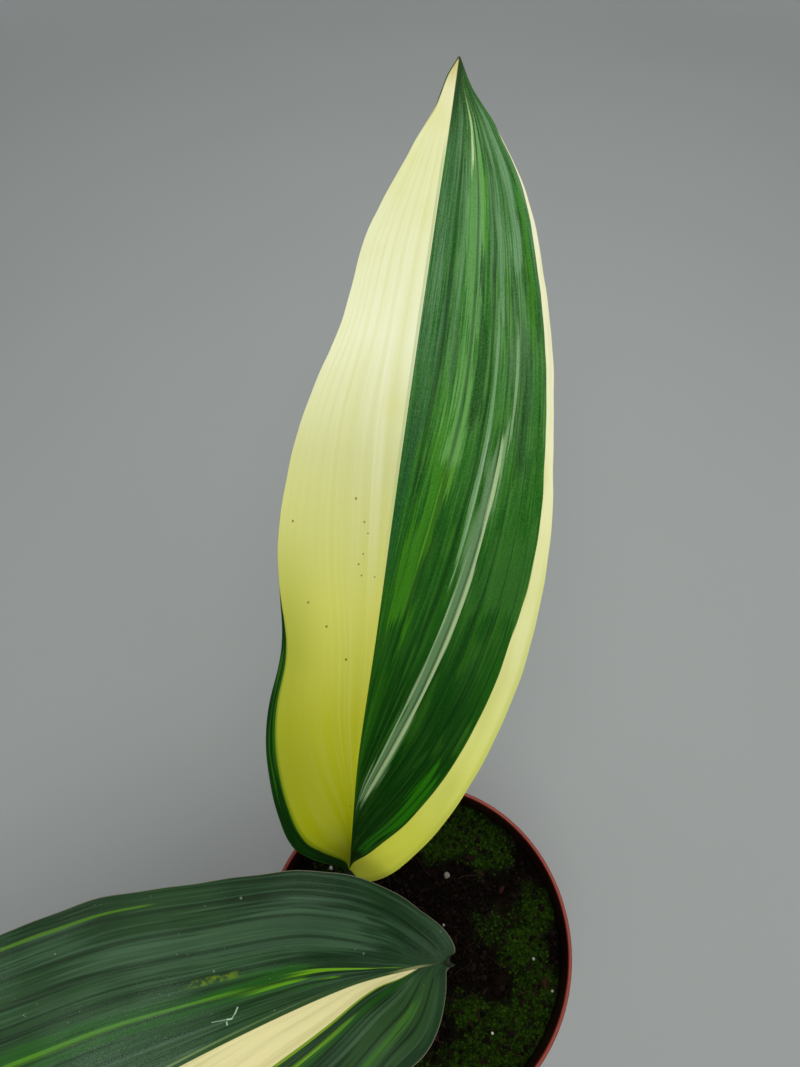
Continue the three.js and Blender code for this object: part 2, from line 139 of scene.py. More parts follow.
LEANING = {
    "name": "leaning",
    "heading": 204,
    "foot": (4, -3),
    "top_reach": 8,
    "sheath_heights": {"inner": 33, "outer": 23},
    "midrib": [
        [0, 9, -7.2, 176.3], [0.06, -4, -9, 189], [0.14, -25, -14, 204], [0.25, -62, -29, 221],
        [0.4, -114, -54, 234], [0.55, -167, -79, 237], [0.7, -219, -105, 232], [0.85, -271, -130, 217],
        [1, -319, -154, 195],
    ],
    "spread": [
        [0, 0.06], [0.05, 0.13], [0.08, 0.19], [0.12, 0.24], [0.17, 0.33], [0.25, 0.41], [0.31, 0.48],
        [0.37, 0.53], [0.6, 0.8], [0.8, 1.1], [1, 1.4],
    ],
    "ripple": 0.28,
    "pleats": (0.16, 0.16),
    "left": {
        "half_width": [
            [0, 2.6], [0.03, 4.6], [0.06, 13.5], [0.1, 26.2], [0.14, 32], [0.2, 40], [0.3, 48],
            [0.42, 52], [0.55, 51], [0.7, 42], [0.82, 29], [0.92, 13], [1, 0.5],
        ],
        "fold": [[0, 50], [0.06, 34], [0.15, 26], [0.3, 20], [0.6, 14], [1, 16]],
        "curl": [[0, 0], [0.3, 0.1], [0.6, 0.12], [1, 0]],
        "wave": [
            [0, 0], [0.08, 1], [0.15, -1.5], [0.24, 2], [0.36, -2], [0.5, 2], [0.64, -2], [0.78, 1.5],
            [1, 0],
        ],
        "sweep": [
            [0, 0], [0.014, 2.8], [0.03, 4.8], [0.06, 5.5], [0.1, 4], [0.15, 2.5], [0.22, 0], [1, 0],
        ],
    },
    "right": {
        "half_width": [
            [0, 2.6], [0.014, 3.7], [0.022, 6.2], [0.035, 10.9], [0.06, 18], [0.1, 27.2], [0.16, 38.1],
            [0.22, 44], [0.3, 51.1], [0.42, 54.5], [0.55, 53], [0.7, 44], [0.82, 30], [0.92, 13], [1, 0.5],
        ],
        "fold": [[0, 50], [0.06, 32], [0.15, 22], [0.3, 16], [0.6, 12], [1, 16]],
        "curl": [[0, 0], [0.3, 0.1], [0.6, 0.12], [1, 0]],
        "wave": [
            [0, 0], [0.1, 0.5], [0.2, -1.5], [0.3, 1.5], [0.42, -2], [0.56, 2], [0.7, -1.5], [0.84, 1],
            [1, 0],
        ],
        "sweep": [
            [0, 0], [0.008, 5.4], [0.014, 8.1], [0.022, 9.2], [0.035, 7.7], [0.06, 4.3], [0.1, 2.5],
            [0.16, 0], [1, 0],
        ],
    },
}

# ---------------------------------------------------------------- node trees


def operator(operation, turned=False):
    """A method that adds a Math node, with its two values the other way round where it is turned."""
    def method(self, other):
        return self.tree.math(operation, *((other, self) if turned else (self, other)))
    return method


class Value:
    """An output of a node. Arithmetic on it adds Math nodes to the same tree."""

    def __init__(self, tree, socket):
        self.tree = tree
        self.socket = socket

    def output(self, name):
        return Value(self.tree, self.socket.node.outputs[name])

    __add__ = __radd__ = operator("ADD")
    __sub__ = operator("SUBTRACT")
    __rsub__ = operator("SUBTRACT", turned=True)
    __mul__ = operator("MULTIPLY")
    __pow__ = operator("POWER")


class Tree:
    """Adds nodes to a node tree, each by its type, its settings and the values or links of its sockets."""

    def __init__(self, tree):
        self.tree = tree

    def node(self, kind, settings, sockets, output=0):
        """Gives the new node's output, where it has any."""
        made = self.tree.nodes.new(kind)
        for name, value in settings.items():
            if name == "stops":
                set_stops(made.color_ramp, value)
            else:
                setattr(made, name, value)
        for name, value in sockets.items():
            if isinstance(value, Value):
                self.tree.links.new(value.socket, made.inputs[name])
            else:
                made.inputs[name].default_value = value
        if made.outputs:
            return Value(self, made.outputs[output])

    def math(self, operation, *values):
        return self.node("ShaderNodeMath", {"operation": operation}, dict(enumerate(values)))


def set_stops(ramp, stops):
    """Gives a ramp the stops (place, display colour), in order."""
    while len(ramp.elements) < len(stops):
        ramp.elements.new(1.0)
    for element, (place, shade) in zip(ramp.elements, stops):
        element.position = place
        element.color = colour(*shade)


class Finish(Tree):
    """A material."""

    def __init__(self, name):
        self.material = bpy.data.materials.new(name)
        self.material.use_nodes = True
        self.material.node_tree.nodes.clear()
        super().__init__(self.material.node_tree)

    def attribute(self, name):
        return self.node("ShaderNodeAttribute", {"attribute_name": name}, {}, "Fac")

    def parts(self, name):
        """The three numbers that a vector attribute holds."""
        vector = self.node("ShaderNodeAttribute", {"attribute_name": name}, {}, "Vector")
        split = self.node("ShaderNodeSeparateXYZ", {}, {0: vector})
        return split, split.output("Y"), split.output("Z")

    @property
    def place(self):
        """The place in the object's own space, in metres."""
        return self.node("ShaderNodeTexCoord", {}, {}, "Object")

    def height(self):
        return self.node("ShaderNodeSeparateXYZ", {}, {0: self.place}, "Z")

    def radius(self):
        """How far a place lies from the Z axis."""
        flat = self.node("ShaderNodeVectorMath", {"operation": "MULTIPLY"}, {0: self.place, 1: (1, 1, 0)})
        return self.node("ShaderNodeVectorMath", {"operation": "LENGTH"}, {0: flat}, "Value")

    def vector(self, x, y, z=0.0):
        return self.node("ShaderNodeCombineXYZ", {}, {"X": x, "Y": y, "Z": z})

    def noise(self, scale, detail=2.0, roughness=0.5, place=None):
        """Noise from 0 to 1, over the object's own space unless a place is given."""
        sockets = {"Vector": place or self.place, "Scale": scale, "Detail": detail, "Roughness": roughness}
        return self.node("ShaderNodeTexNoise", {}, sockets)

    def dots(self, scale, radius, share):
        """1 inside small round spots of the given radius, in cells, in a share of the cells."""
        far = self.node("ShaderNodeTexVoronoi", {}, {"Vector": self.place, "Scale": scale}, "Distance")
        draw = self.node("ShaderNodeSeparateColor", {}, {0: far.output("Color")})
        return self.step(far, radius, radius * 0.6) * self.step(draw, share + 0.01, share)

    def ramp(self, value, stops):
        """The colour at value of stops (place, display colour)."""
        return self.node("ShaderNodeValToRGB", {"stops": stops}, {0: value})

    def step(self, value, none, full):
        """A smooth step from 0 where the value is none to 1 where it is full, which may be the lower one."""
        sockets = {"Value": value, "From Min": none, "From Max": full}
        return self.node("ShaderNodeMapRange", {"interpolation_type": "SMOOTHSTEP"}, sockets)

    def band(self, value, centre, half, soft):
        """1 within half of the centre, falling to 0 over a width of soft."""
        return self.step(self.math("ABSOLUTE", value - centre), half + soft, half)

    def mix(self, factor, below, above):
        """What is below, covered by what is above as far as factor says, each a value or a display colour."""
        below, above = [colour(*each) if isinstance(each, tuple) else each for each in (below, above)]
        return self.node("ShaderNodeMix", {"data_type": "RGBA"}, {0: factor, 6: below, 7: above}, 2)

    def bump(self, height, strength, depth, normal=None):
        sockets = {"Height": height, "Strength": strength, "Distance": depth * MM}
        if normal is not None:
            sockets["Normal"] = normal
        return self.node("ShaderNodeBump", {}, sockets)

    def surface(self, colour, roughness, normal, **constants):
        sockets = {"Base Color": colour, "Roughness": roughness, "Normal": normal}
        sockets.update({name.replace("_", " "): value for name, value in constants.items()})
        shader = self.node("ShaderNodeBsdfPrincipled", {}, sockets)
        self.node("ShaderNodeOutputMaterial", {}, {"Surface": shader})
        return self.material


def colour(red, green, blue):
    """A linear colour from display values of 0 to 255."""
    def linear(value):
        share = value / 255
        return share / 12.92 if share <= 0.04045 else ((share + 0.055) / 1.055) ** 2.4
    return (linear(red), linear(green), linear(blue), 1.0)


# ---------------------------------------------------------------- meshes


def link(name, data):
    """An object in the scene with the given data."""
    made = bpy.data.objects.new(name, data)
    bpy.context.scene.collection.objects.link(made)
    return made


def mesh_object(name, points, faces, finish, attributes=None, sharp=180):
    """An object from points in millimetres. attributes holds one number or three for each point."""
    mesh = bpy.data.meshes.new(name)
    mesh.from_pydata((np.asarray(points, float) * MM).tolist(), [], [list(face) for face in faces])
    for label, values in (attributes or {}).items():
        values = np.asarray(values, float).reshape(len(points), -1)
        kind, field = ("FLOAT", "value") if values.shape[1] == 1 else ("FLOAT_VECTOR", "vector")
        mesh.attributes.new(label, kind, "POINT").data.foreach_set(field, values.ravel())
    mesh.shade_smooth()
    if sharp < 180:
        mesh.set_sharp_from_angle(angle=math.radians(sharp))
    mesh.materials.append(finish)
    return link(name, mesh)


def bands(first, rings, size):
    """Faces between rings of points, each closed on itself, of which the first point is given."""
    faces = []
    for low in range(first, first + (rings - 1) * size, size):
        for k in range(size):
            after = (k + 1) % size
            faces.append((low + k, low + after, low + size + after, low + size + k))
    return faces


def loft_faces(rings, size):
    """Faces of a closed solid through rings of points, as in the part's source."""
    faces = bands(0, rings, size)
    end = (rings - 1) * size
    for k in range(size // 2 - 1):
        a, b, c, d = k, k + 1, size - 2 - k, size - 1 - k
        faces += [(a, d, c, b), (end + a, end + b, end + c, end + d)]
    return faces


def lofted(name, rings, finish, attributes=None, sharp=180):
    rings = np.asarray(rings, float)
    faces = loft_faces(len(rings), rings.shape[1])
    return mesh_object(name, rings.reshape(-1, 3), faces, finish, attributes, sharp)


def there_and_back(face, back):
    """Each section's values along its upper side, then back along its underside."""
    return np.concatenate([face, back[:, ::-1]], axis=1)


def sections(centre, across, up, sides):
    """Rings of points, from the x and y of each section's upper side and of its underside."""
    return there_and_back(*[
        centre[:, None] + across[:, None] * x[..., None] + up[:, None] * y[..., None] for x, y in sides
    ])


def turned_mesh(profile, segments):
    """Points and faces of a profile that starts and ends on the axis, turned about it."""
    angle = np.arange(segments) * 2 * math.pi / segments
    points = [(0, 0, profile[0][1])]
    for radius, height in profile[1:-1]:
        points += [(radius * math.cos(a), radius * math.sin(a), height) for a in angle]
    points.append((0, 0, profile[-1][1]))
    last = len(points) - 1
    top = last - segments
    faces = [(0, 1 + (k + 1) % segments, 1 + k) for k in range(segments)]
    faces += bands(1, len(profile) - 2, segments)
    faces += [(top + k, top + (k + 1) % segments, last) for k in range(segments)]
    return np.array(points, float), faces


def along(stations, t):
    """The smooth value at t of stations [t, value ...]."""
    table = np.array(stations, float)
    place, value = table[:, 0], table[:, 1:]
    t = np.clip(np.asarray(t, float), place[0], place[-1])
    i = np.clip(np.searchsorted(place, t, side="right") - 1, 0, len(place) - 2)

    def slope(k):
        low, high = np.maximum(k - 1, 0), np.minimum(k + 1, len(place) - 1)
        return (value[high] - value[low]) / (place[high] - place[low])[..., None]

    step = (place[i + 1] - place[i])[..., None]
    q = (t - place[i])[..., None] / step
    start = (2 * q ** 3 - 3 * q ** 2 + 1) * value[i] + (q ** 3 - 2 * q ** 2 + q) * slope(i) * step
    end = (3 * q ** 2 - 2 * q ** 3) * value[i + 1] + (q ** 3 - q ** 2) * slope(i + 1) * step
    total = start + end
    return total[..., 0] if total.shape[-1] == 1 else total


def unit(vectors):
    return vectors / np.linalg.norm(vectors, axis=-1, keepdims=True)


def section_axes(leaf, forward):
    """across and up of a section of a leaf or its stalk, for directions along it."""
    heading = math.radians(leaf["heading"])
    right = np.array([math.sin(heading), -math.cos(heading), 0])
    up = unit(np.cross(right, forward))
    return np.cross(forward, up), up


def midrib_axes(leaf, t):
    step = 0.001
    ahead = along(leaf["midrib"], np.minimum(t + step, 1))
    forward = unit(ahead - along(leaf["midrib"], np.maximum(t - step, 0)))
    return (forward,) + section_axes(leaf, forward)


def lerp(low, high, share):
    return low + (high - low) * share


def smooth(value, low, high):
    share = np.clip((value - low) / (high - low), 0, 1)
    return share * share * (3 - 2 * share)


# ---------------------------------------------------------------- leaves


def blade_section(leaf, t, share):
    """Sections of a blade at t, a column, over signed shares of the half width, a row.

    Gives each point's place across and up, how far it lies back, its vein and its distance from the
    midrib and from the edge.
    """
    values = []
    for key in ("half_width", "fold", "curl", "wave", "sweep"):
        left, right = along(leaf["left"][key], t), along(leaf["right"][key], t)
        values.append(np.where(share < 0, left, right))
    half_width, fold, curl, wave, sweep = values
    out, side = np.abs(share), np.sign(share)
    waves = sum(high * np.sin(turns * t + start + shift * side) for turns, start, shift, high in EDGE_WAVES)
    waves = leaf["ripple"] * waves * smooth(t, 0.02, 0.06) * smooth(1 - t, 0, 0.1) * out ** 8
    x = half_width * out + waves
    vein = out ** along(leaf["spread"], t)
    even = np.sqrt(vein)
    folded = (np.hypot(x, BLADE["groove"]) - BLADE["groove"]) * np.sin(np.radians(fold))
    pleat = np.cos(2 * math.pi * (BLADE["pleats"] * vein + BLADE["edge_pleats"] * vein ** 4))
    fade = np.minimum(1, x / BLADE["flat_at_midrib"])
    fade = fade * np.minimum(1, (half_width - x) / BLADE["flat_at_edge"])
    depth = np.where(share < 0, *leaf["pleats"]) * np.minimum(1, half_width / BLADE["full_pleat_width"])
    uneven = np.sin(PLEAT_SWELL["along"] * t + PLEAT_SWELL["across"] * vein)
    depth = depth * fade * lerp(PLEAT_SWELL["least"], 1, (1 + uneven) / 2)
    rate = np.abs(np.gradient(even, axis=1) / np.maximum(np.abs(np.gradient(x, axis=1)), 1e-4))
    return {
        "across": side * x * np.cos(np.radians(fold)),
        "up": folded - curl * half_width * out ** 2 + wave * out ** 3 + depth * pleat,
        "back": sweep * out ** 1.4,
        "vein": side * vein,
        "reach": side * x,
        "edge": half_width * (1 - out),
        "pleat": pleat * fade,
        "level": np.clip(np.log(BLADE["even_rate"] / np.maximum(rate, 1e-6)) / math.log(3), 0, 2),
    }


def blade_faces(leaf, t, share):
    """Each section's points on the upper face and on the underside, as (across, up) pairs."""
    section = blade_section(leaf, t, share)
    run = np.gradient(section["across"], axis=1)
    rise = np.gradient(section["up"], axis=1)
    size = np.hypot(run, rise)
    top = lerp(BLADE["thickness"], BLADE["edge_thickness"], np.abs(share)) / 2
    keel = BLADE["keel_depth"] * (1 - t) * np.exp(-(section["reach"] / BLADE["keel_width"]) ** 2)
    under = top + keel
    face = (section["across"] - rise / size * top, section["up"] + run / size * top)
    back = (section["across"] + rise / size * under, section["up"] - run / size * under)
    return section, face, back


def build_blade(leaf, finish):
    q = np.linspace(0, 1, BLADE["stations"] + 1)
    t = q - BLADE["crowding"] * np.sin(2 * math.pi * q) / (2 * math.pi)
    half = np.linspace(0, 1, BLADE["lines"] + 1)[1:] ** BLADE["line_crowding"]
    section, *sides = blade_faces(leaf, t[:, None], np.concatenate([-half[::-1], [0], half])[None, :])
    section = {key: there_and_back(part, part) for key, part in section.items()}
    forward, across, up = midrib_axes(leaf, t)
    rings = sections(along(leaf["midrib"], t), across, up, sides)
    rings -= forward[:, None] * section["back"][..., None]
    under = np.zeros(section["vein"].shape)
    under[:, under.shape[1] // 2:] = 1
    marks = {
        "place": np.stack([section["vein"], np.broadcast_to(t[:, None], under.shape), under], axis=-1),
        "reach": np.stack([section["reach"], section["edge"], section["level"]], axis=-1),
        "pleat": section["pleat"],
    }
    return lofted(f"blade_{leaf['name']}_skin", rings, finish, marks, sharp=60)


class Path:
    """A curve in space, read by the length along it."""

    def __init__(self, points):
        self.points = points
        steps = np.linalg.norm(np.diff(points, axis=0), axis=1)
        self.lengths = np.concatenate([[0], np.cumsum(steps)])
        self.length = self.lengths[-1]

    def at(self, length):
        return np.stack([np.interp(length, self.lengths, self.points[:, k]) for k in range(3)], axis=-1)

    def forward(self, length):
        step = 0.4
        low, high = np.maximum(length - step, 0), np.minimum(length + step, self.length)
        return unit(self.at(high) - self.at(low))


def stalk_path(leaf):
    start = np.array([0.0])
    forward = midrib_axes(leaf, start)[0][0]
    top = along(leaf["midrib"], start)[0]
    _, up = section_axes(leaf, np.array([0.0, 0, 1]))
    foot = np.array([*leaf["foot"], SOIL_TOP + STALK["foot_sink"]]) + up * STALK["centre"]
    rising = foot + np.array([0, 0, STALK["foot_reach"]])
    falling = top - forward * leaf["top_reach"]
    q = np.linspace(0, 1, 400)[:, None]
    return Path(
        (1 - q) ** 3 * foot + 3 * (1 - q) ** 2 * q * rising + 3 * (1 - q) * q ** 2 * falling + q ** 3 * top
    )


def build_stalk(leaf, finish):
    """The grooved stalk, whose section turns into the blade's first one at its top."""
    path = stalk_path(leaf)
    q = np.linspace(0, 1, STALK["stations"])
    across, up = section_axes(leaf, path.forward(q * path.length))
    angle = np.linspace(-0.5, 0.5, STALK["side_points"])[None, :] * math.pi
    half_width, depth, groove = [lerp(*STALK[key], q)[:, None] for key in ("half_width", "depth", "groove")]
    x = half_width * np.sin(angle)
    own = [(x, -groove * np.cos(angle) ** 2), (x, -STALK["edge"] - depth * np.cos(angle))]
    ends = blade_faces(leaf, np.array([[0.0]]), np.sin(angle))[1:]
    turn = smooth(q, *STALK["into_blade"])[:, None]
    sides = [[lerp(low, high, turn) for low, high in zip(side, end)] for side, end in zip(own, ends)]
    rings = sections(path.at(q * path.length), across, up, sides)
    marks = {"height": np.repeat(q, rings.shape[1])}
    return lofted(f"petiole_{leaf['name']}_skin", rings, finish, marks, sharp=50)


def build_sheath(leaf, layer, finish):
    """A dry pointed scale about the foot of a stalk, ribbed along its length."""
    path = stalk_path(leaf)
    q = np.linspace(0, 1, SHEATH["stations"])[:, None]
    turn = np.linspace(-1, 1, SHEATH["side_points"])
    length = lerp(SHEATH["lift"], leaf["sheath_heights"][layer], q[:, 0])
    across, up = section_axes(leaf, path.forward(length))
    spread = np.radians(lerp(SHEATH["spread"], SHEATH["tip_spread"], q ** SHEATH["narrowing"]))
    towards = 1 if layer == "inner" else -1
    x, y = towards * np.sin(spread * turn), towards * np.cos(spread * turn)
    inside = SHEATH_RADII[layer] + SHEATH["flare"] * q ** 3
    thickness = SHEATH["thickness"] * (1 - SHEATH["edge_thinning"] * np.abs(turn) ** 6)
    thickness = thickness * (1 - SHEATH["tip_thinning"] * q)
    outside = inside + thickness + SHEATH["rib_rise"] * np.cos(turn * SHEATH["ribs"])
    sides = [(x * radius, y * radius) for radius in (outside, inside)]
    rings = sections(path.at(length) - up * STALK["centre"], across, up, sides)
    marks = {"place": np.stack(np.broadcast_arrays(np.concatenate([turn, turn[::-1]]), q, 0.0), axis=-1)}
    return lofted(f"sheath_{layer}_{leaf['name']}_skin", rings, finish, marks, sharp=50)


# How veins wander: about how many waves across a half and along a blade, seed and strength
WANDERING = [(5, 3, 1.5, 0.02), (14, 9, 4.5, 0.006)]


class LeafFinish(Finish):
    """A finish whose pattern runs along a blade's veins, which the blade's points carry.

    even is the vein's number spread more evenly over the blade. level says how many times, by threes,
    fine lines have to be set closer there to stay equally far apart in millimetres.
    """

    def __init__(self, name):
        super().__init__(name)
        vein, self.t, self.under = self.parts("place")
        self.reach, self.edge, self.level = self.parts("reach")
        self.pleat = self.attribute("pleat")
        self.grain = self.noise(2200, 2)
        self.right = self.step(self.reach, -0.2, 0.2)
        self.left = 1 - self.right
        self.even = self.math("SQRT", self.math("ABSOLUTE", vein)) * self.math("SIGN", vein)
        wander = 0
        for count, length, seed, strength in WANDERING:
            wander = (self.lines(count, length, seed) - 0.5) * strength + wander
        self.even = self.even + wander
        self.out = self.even * self.even
        self.ragged = self.fine_lines(66, 14, 11) * 0.6 + self.fine_lines(24, 6, 15) * 0.4
        self.ribs = self.fine_lines(60, 2, 21)
        self.patches = self.lines(15, 8, 91)

    def lines(self, count, length, seed, detail=2.0):
        """Soft streaks along the veins: about count across a half, and length to the blade's length."""
        return self.noise(1.0, detail, place=self.vector(self.even * count, self.t * length, float(seed)))

    def fine_lines(self, count, length, seed):
        """Thin streaks that stay equally close all over the blade."""
        total = 0
        for octave in range(3):
            share = self.math("MAXIMUM", 1 - self.math("ABSOLUTE", self.level - octave), 0.0)
            total = self.lines(count * 3 ** octave, length, seed + octave, 1.0) * share + total
        return total

    def layers(self, below, rows, upper=0):
        """Layers of pattern over what lies below.

        A row says what makes the pattern, where it is none and full, its strength, what upper adds to
        that, and its shade.
        """
        for (kind, *numbers), none, full, strength, more, shade in rows:
            pattern = getattr(self, kind)
            if numbers:
                pattern = pattern(*numbers)
            below = self.mix(self.step(pattern, none, full) * (upper * more + strength), below, shade)
        return below

    def streak(self, below, vein, half, start, end, shade, strength):
        """A streak of another shade over what lies below, which frays into fibres at its sides and ends."""
        across = 1 - self.math("ABSOLUTE", self.out - vein) * (0.5 / half)
        ends = self.math("MINIMUM", (self.t - start) * FRAY["start"], (end - self.t) * FRAY["end"])
        body = self.math("MINIMUM", across, ends) + (self.ragged - 0.5) * FRAY["fibres"]
        body = body + (self.patches - 0.5) * FRAY["patches"]
        return self.mix(self.step(body, 0.3, 0.7) * strength, below, shade)

    def spot(self, below, t, share, size, shade):
        """A small uneven spot at a place along and across the blade, size being its radius in mm."""
        along_it = (self.t - t) * (UPRIGHT_SIZE["length"] / size)
        across_it = (self.reach - share * UPRIGHT_SIZE["half_width"]) * (1 / size)
        far = along_it * along_it + across_it * across_it
        uneven = (self.grain - 0.5) * 3
        return self.mix(self.step(far + uneven, 1.3, 0.6) * 0.8, below, shade)

    def stroke(self, below, start, end, half, shade, strength):
        """A thin line between two places, each (mm along the blade, mm from the midrib)."""
        run, rise = end[0] - start[0], end[1] - start[1]
        length = math.hypot(run, rise)
        x = self.t * LEANING_LENGTH - start[0]
        y = self.reach - start[1]
        on_it = x * (run / length) + y * (rise / length)
        beyond = self.math("MAXIMUM", self.math("MAXIMUM", 0 - on_it, on_it - length), 0.0)
        aside = x * (rise / length) - y * (run / length)
        far = self.math("SQRT", beyond * beyond + aside * aside)
        line = self.step(far, half * 1.5, half * 0.5) * (1 - self.under)
        return self.mix(line * strength, below, shade)

    def relief(self):
        """The blade's fine veins, as a bump."""
        ribs = self.bump(self.ribs, 0.35, 0.22)
        return self.bump(self.noise(1500, 2), 0.1, 0.08, ribs)


# Rough sizes of the blades in millimetres, to place small spots and strokes on them
UPRIGHT_SIZE = {"length": 340, "half_width": 38}
LEANING_LENGTH = 390
# How far a streak's ends taper, and how strongly fibres and patches break it up
FRAY = {"start": 22, "end": 11, "fibres": 2.4, "patches": 1.6}

# Brown specks on the cream: place along the blade, distance from the midrib as a share of its half width,
# and radius in millimetres
BROWN_SPECKS = [
    (0.43, 0.38, 0.45), (0.41, 0.27, 0.35), (0.4, 0.93, 0.4), (0.4, 0.22, 0.3), (0.38, 0.24, 0.3),
    (0.37, 0.27, 0.35), (0.36, 0.23, 0.3), (0.36, 0.1, 0.3), (0.33, 0.7, 0.4), (0.31, 0.5, 0.45),
    (0.28, 0.27, 0.4), (0.12, 0.05, 0.3),
]

# Streaks on the right half of the upright blade, one of them a painted sheen: vein, half its width, where it
# starts and ends along the blade, shade and strength
UPRIGHT_STREAKS = [
    (0.03, 0.05, 0.34, 0.92, (22, 76, 36), 0.55),
    (0.2, 0.065, 0.3, 0.6, (60, 128, 14), 0.65),
    (0.26, 0.018, 0.36, 0.52, (84, 150, 26), 0.6),
    (0.3, 0.012, 0.42, 0.62, (100, 158, 52), 0.55),
    (0.265, 0.06, 0.46, 0.92, (104, 158, 86), 0.68),
    (0.33, 0.025, 0.68, 0.86, (84, 154, 30), 0.6),
    # This pale grey-green band is a painted sheen
    (0.7, 0.055, 0.68, 0.97, (112, 152, 112), 0.55),
    (0.5, 0.026, 0.62, 0.9, (110, 150, 106), 0.5),
    (0.82, 0.03, 0.6, 0.84, (58, 130, 20), 0.55),
    (0.88, 0.09, 0.86, 1.1, (30, 92, 12), 0.7),
    (0.36, 0.036, 0.5, 0.69, (10, 62, 10), 0.8),
    (0.78, 0.11, 0.32, 0.46, (56, 110, 38), 0.5),
    (0.578, 0.012, 0.6, 0.72, (84, 146, 34), 0.6),
    (0.74, 0.035, 0.46, 0.66, (8, 62, 4), 0.8),
    (0.62, 0.018, 0.52, 0.72, (12, 68, 8), 0.65),
    (0.22, 0.014, 0.81, 0.97, (188, 208, 150), 0.9),
    (0.48, 0.011, 0.36, 0.72, (122, 158, 114), 0.65),
    (0.49, 0.005, 0.34, 0.56, (150, 178, 138), 0.55),
    (0.65, 0.01, 0.48, 0.68, (136, 168, 120), 0.75),
    (0.612, 0.014, 0.45, 0.57, (128, 162, 112), 0.75),
    (0.56, 0.042, 0.1, 0.54, (106, 140, 96), 0.75),
    (0.585, 0.009, 0.4, 0.5, (186, 206, 160), 0.85),
    (0.594, 0.01, 0.12, 0.56, (164, 188, 134), 0.9),
    (0.53, 0.007, 0.1, 0.42, (144, 172, 120), 0.85),
    (0.88, 0.024, 0.04, 0.22, (40, 116, 6), 0.8),
]


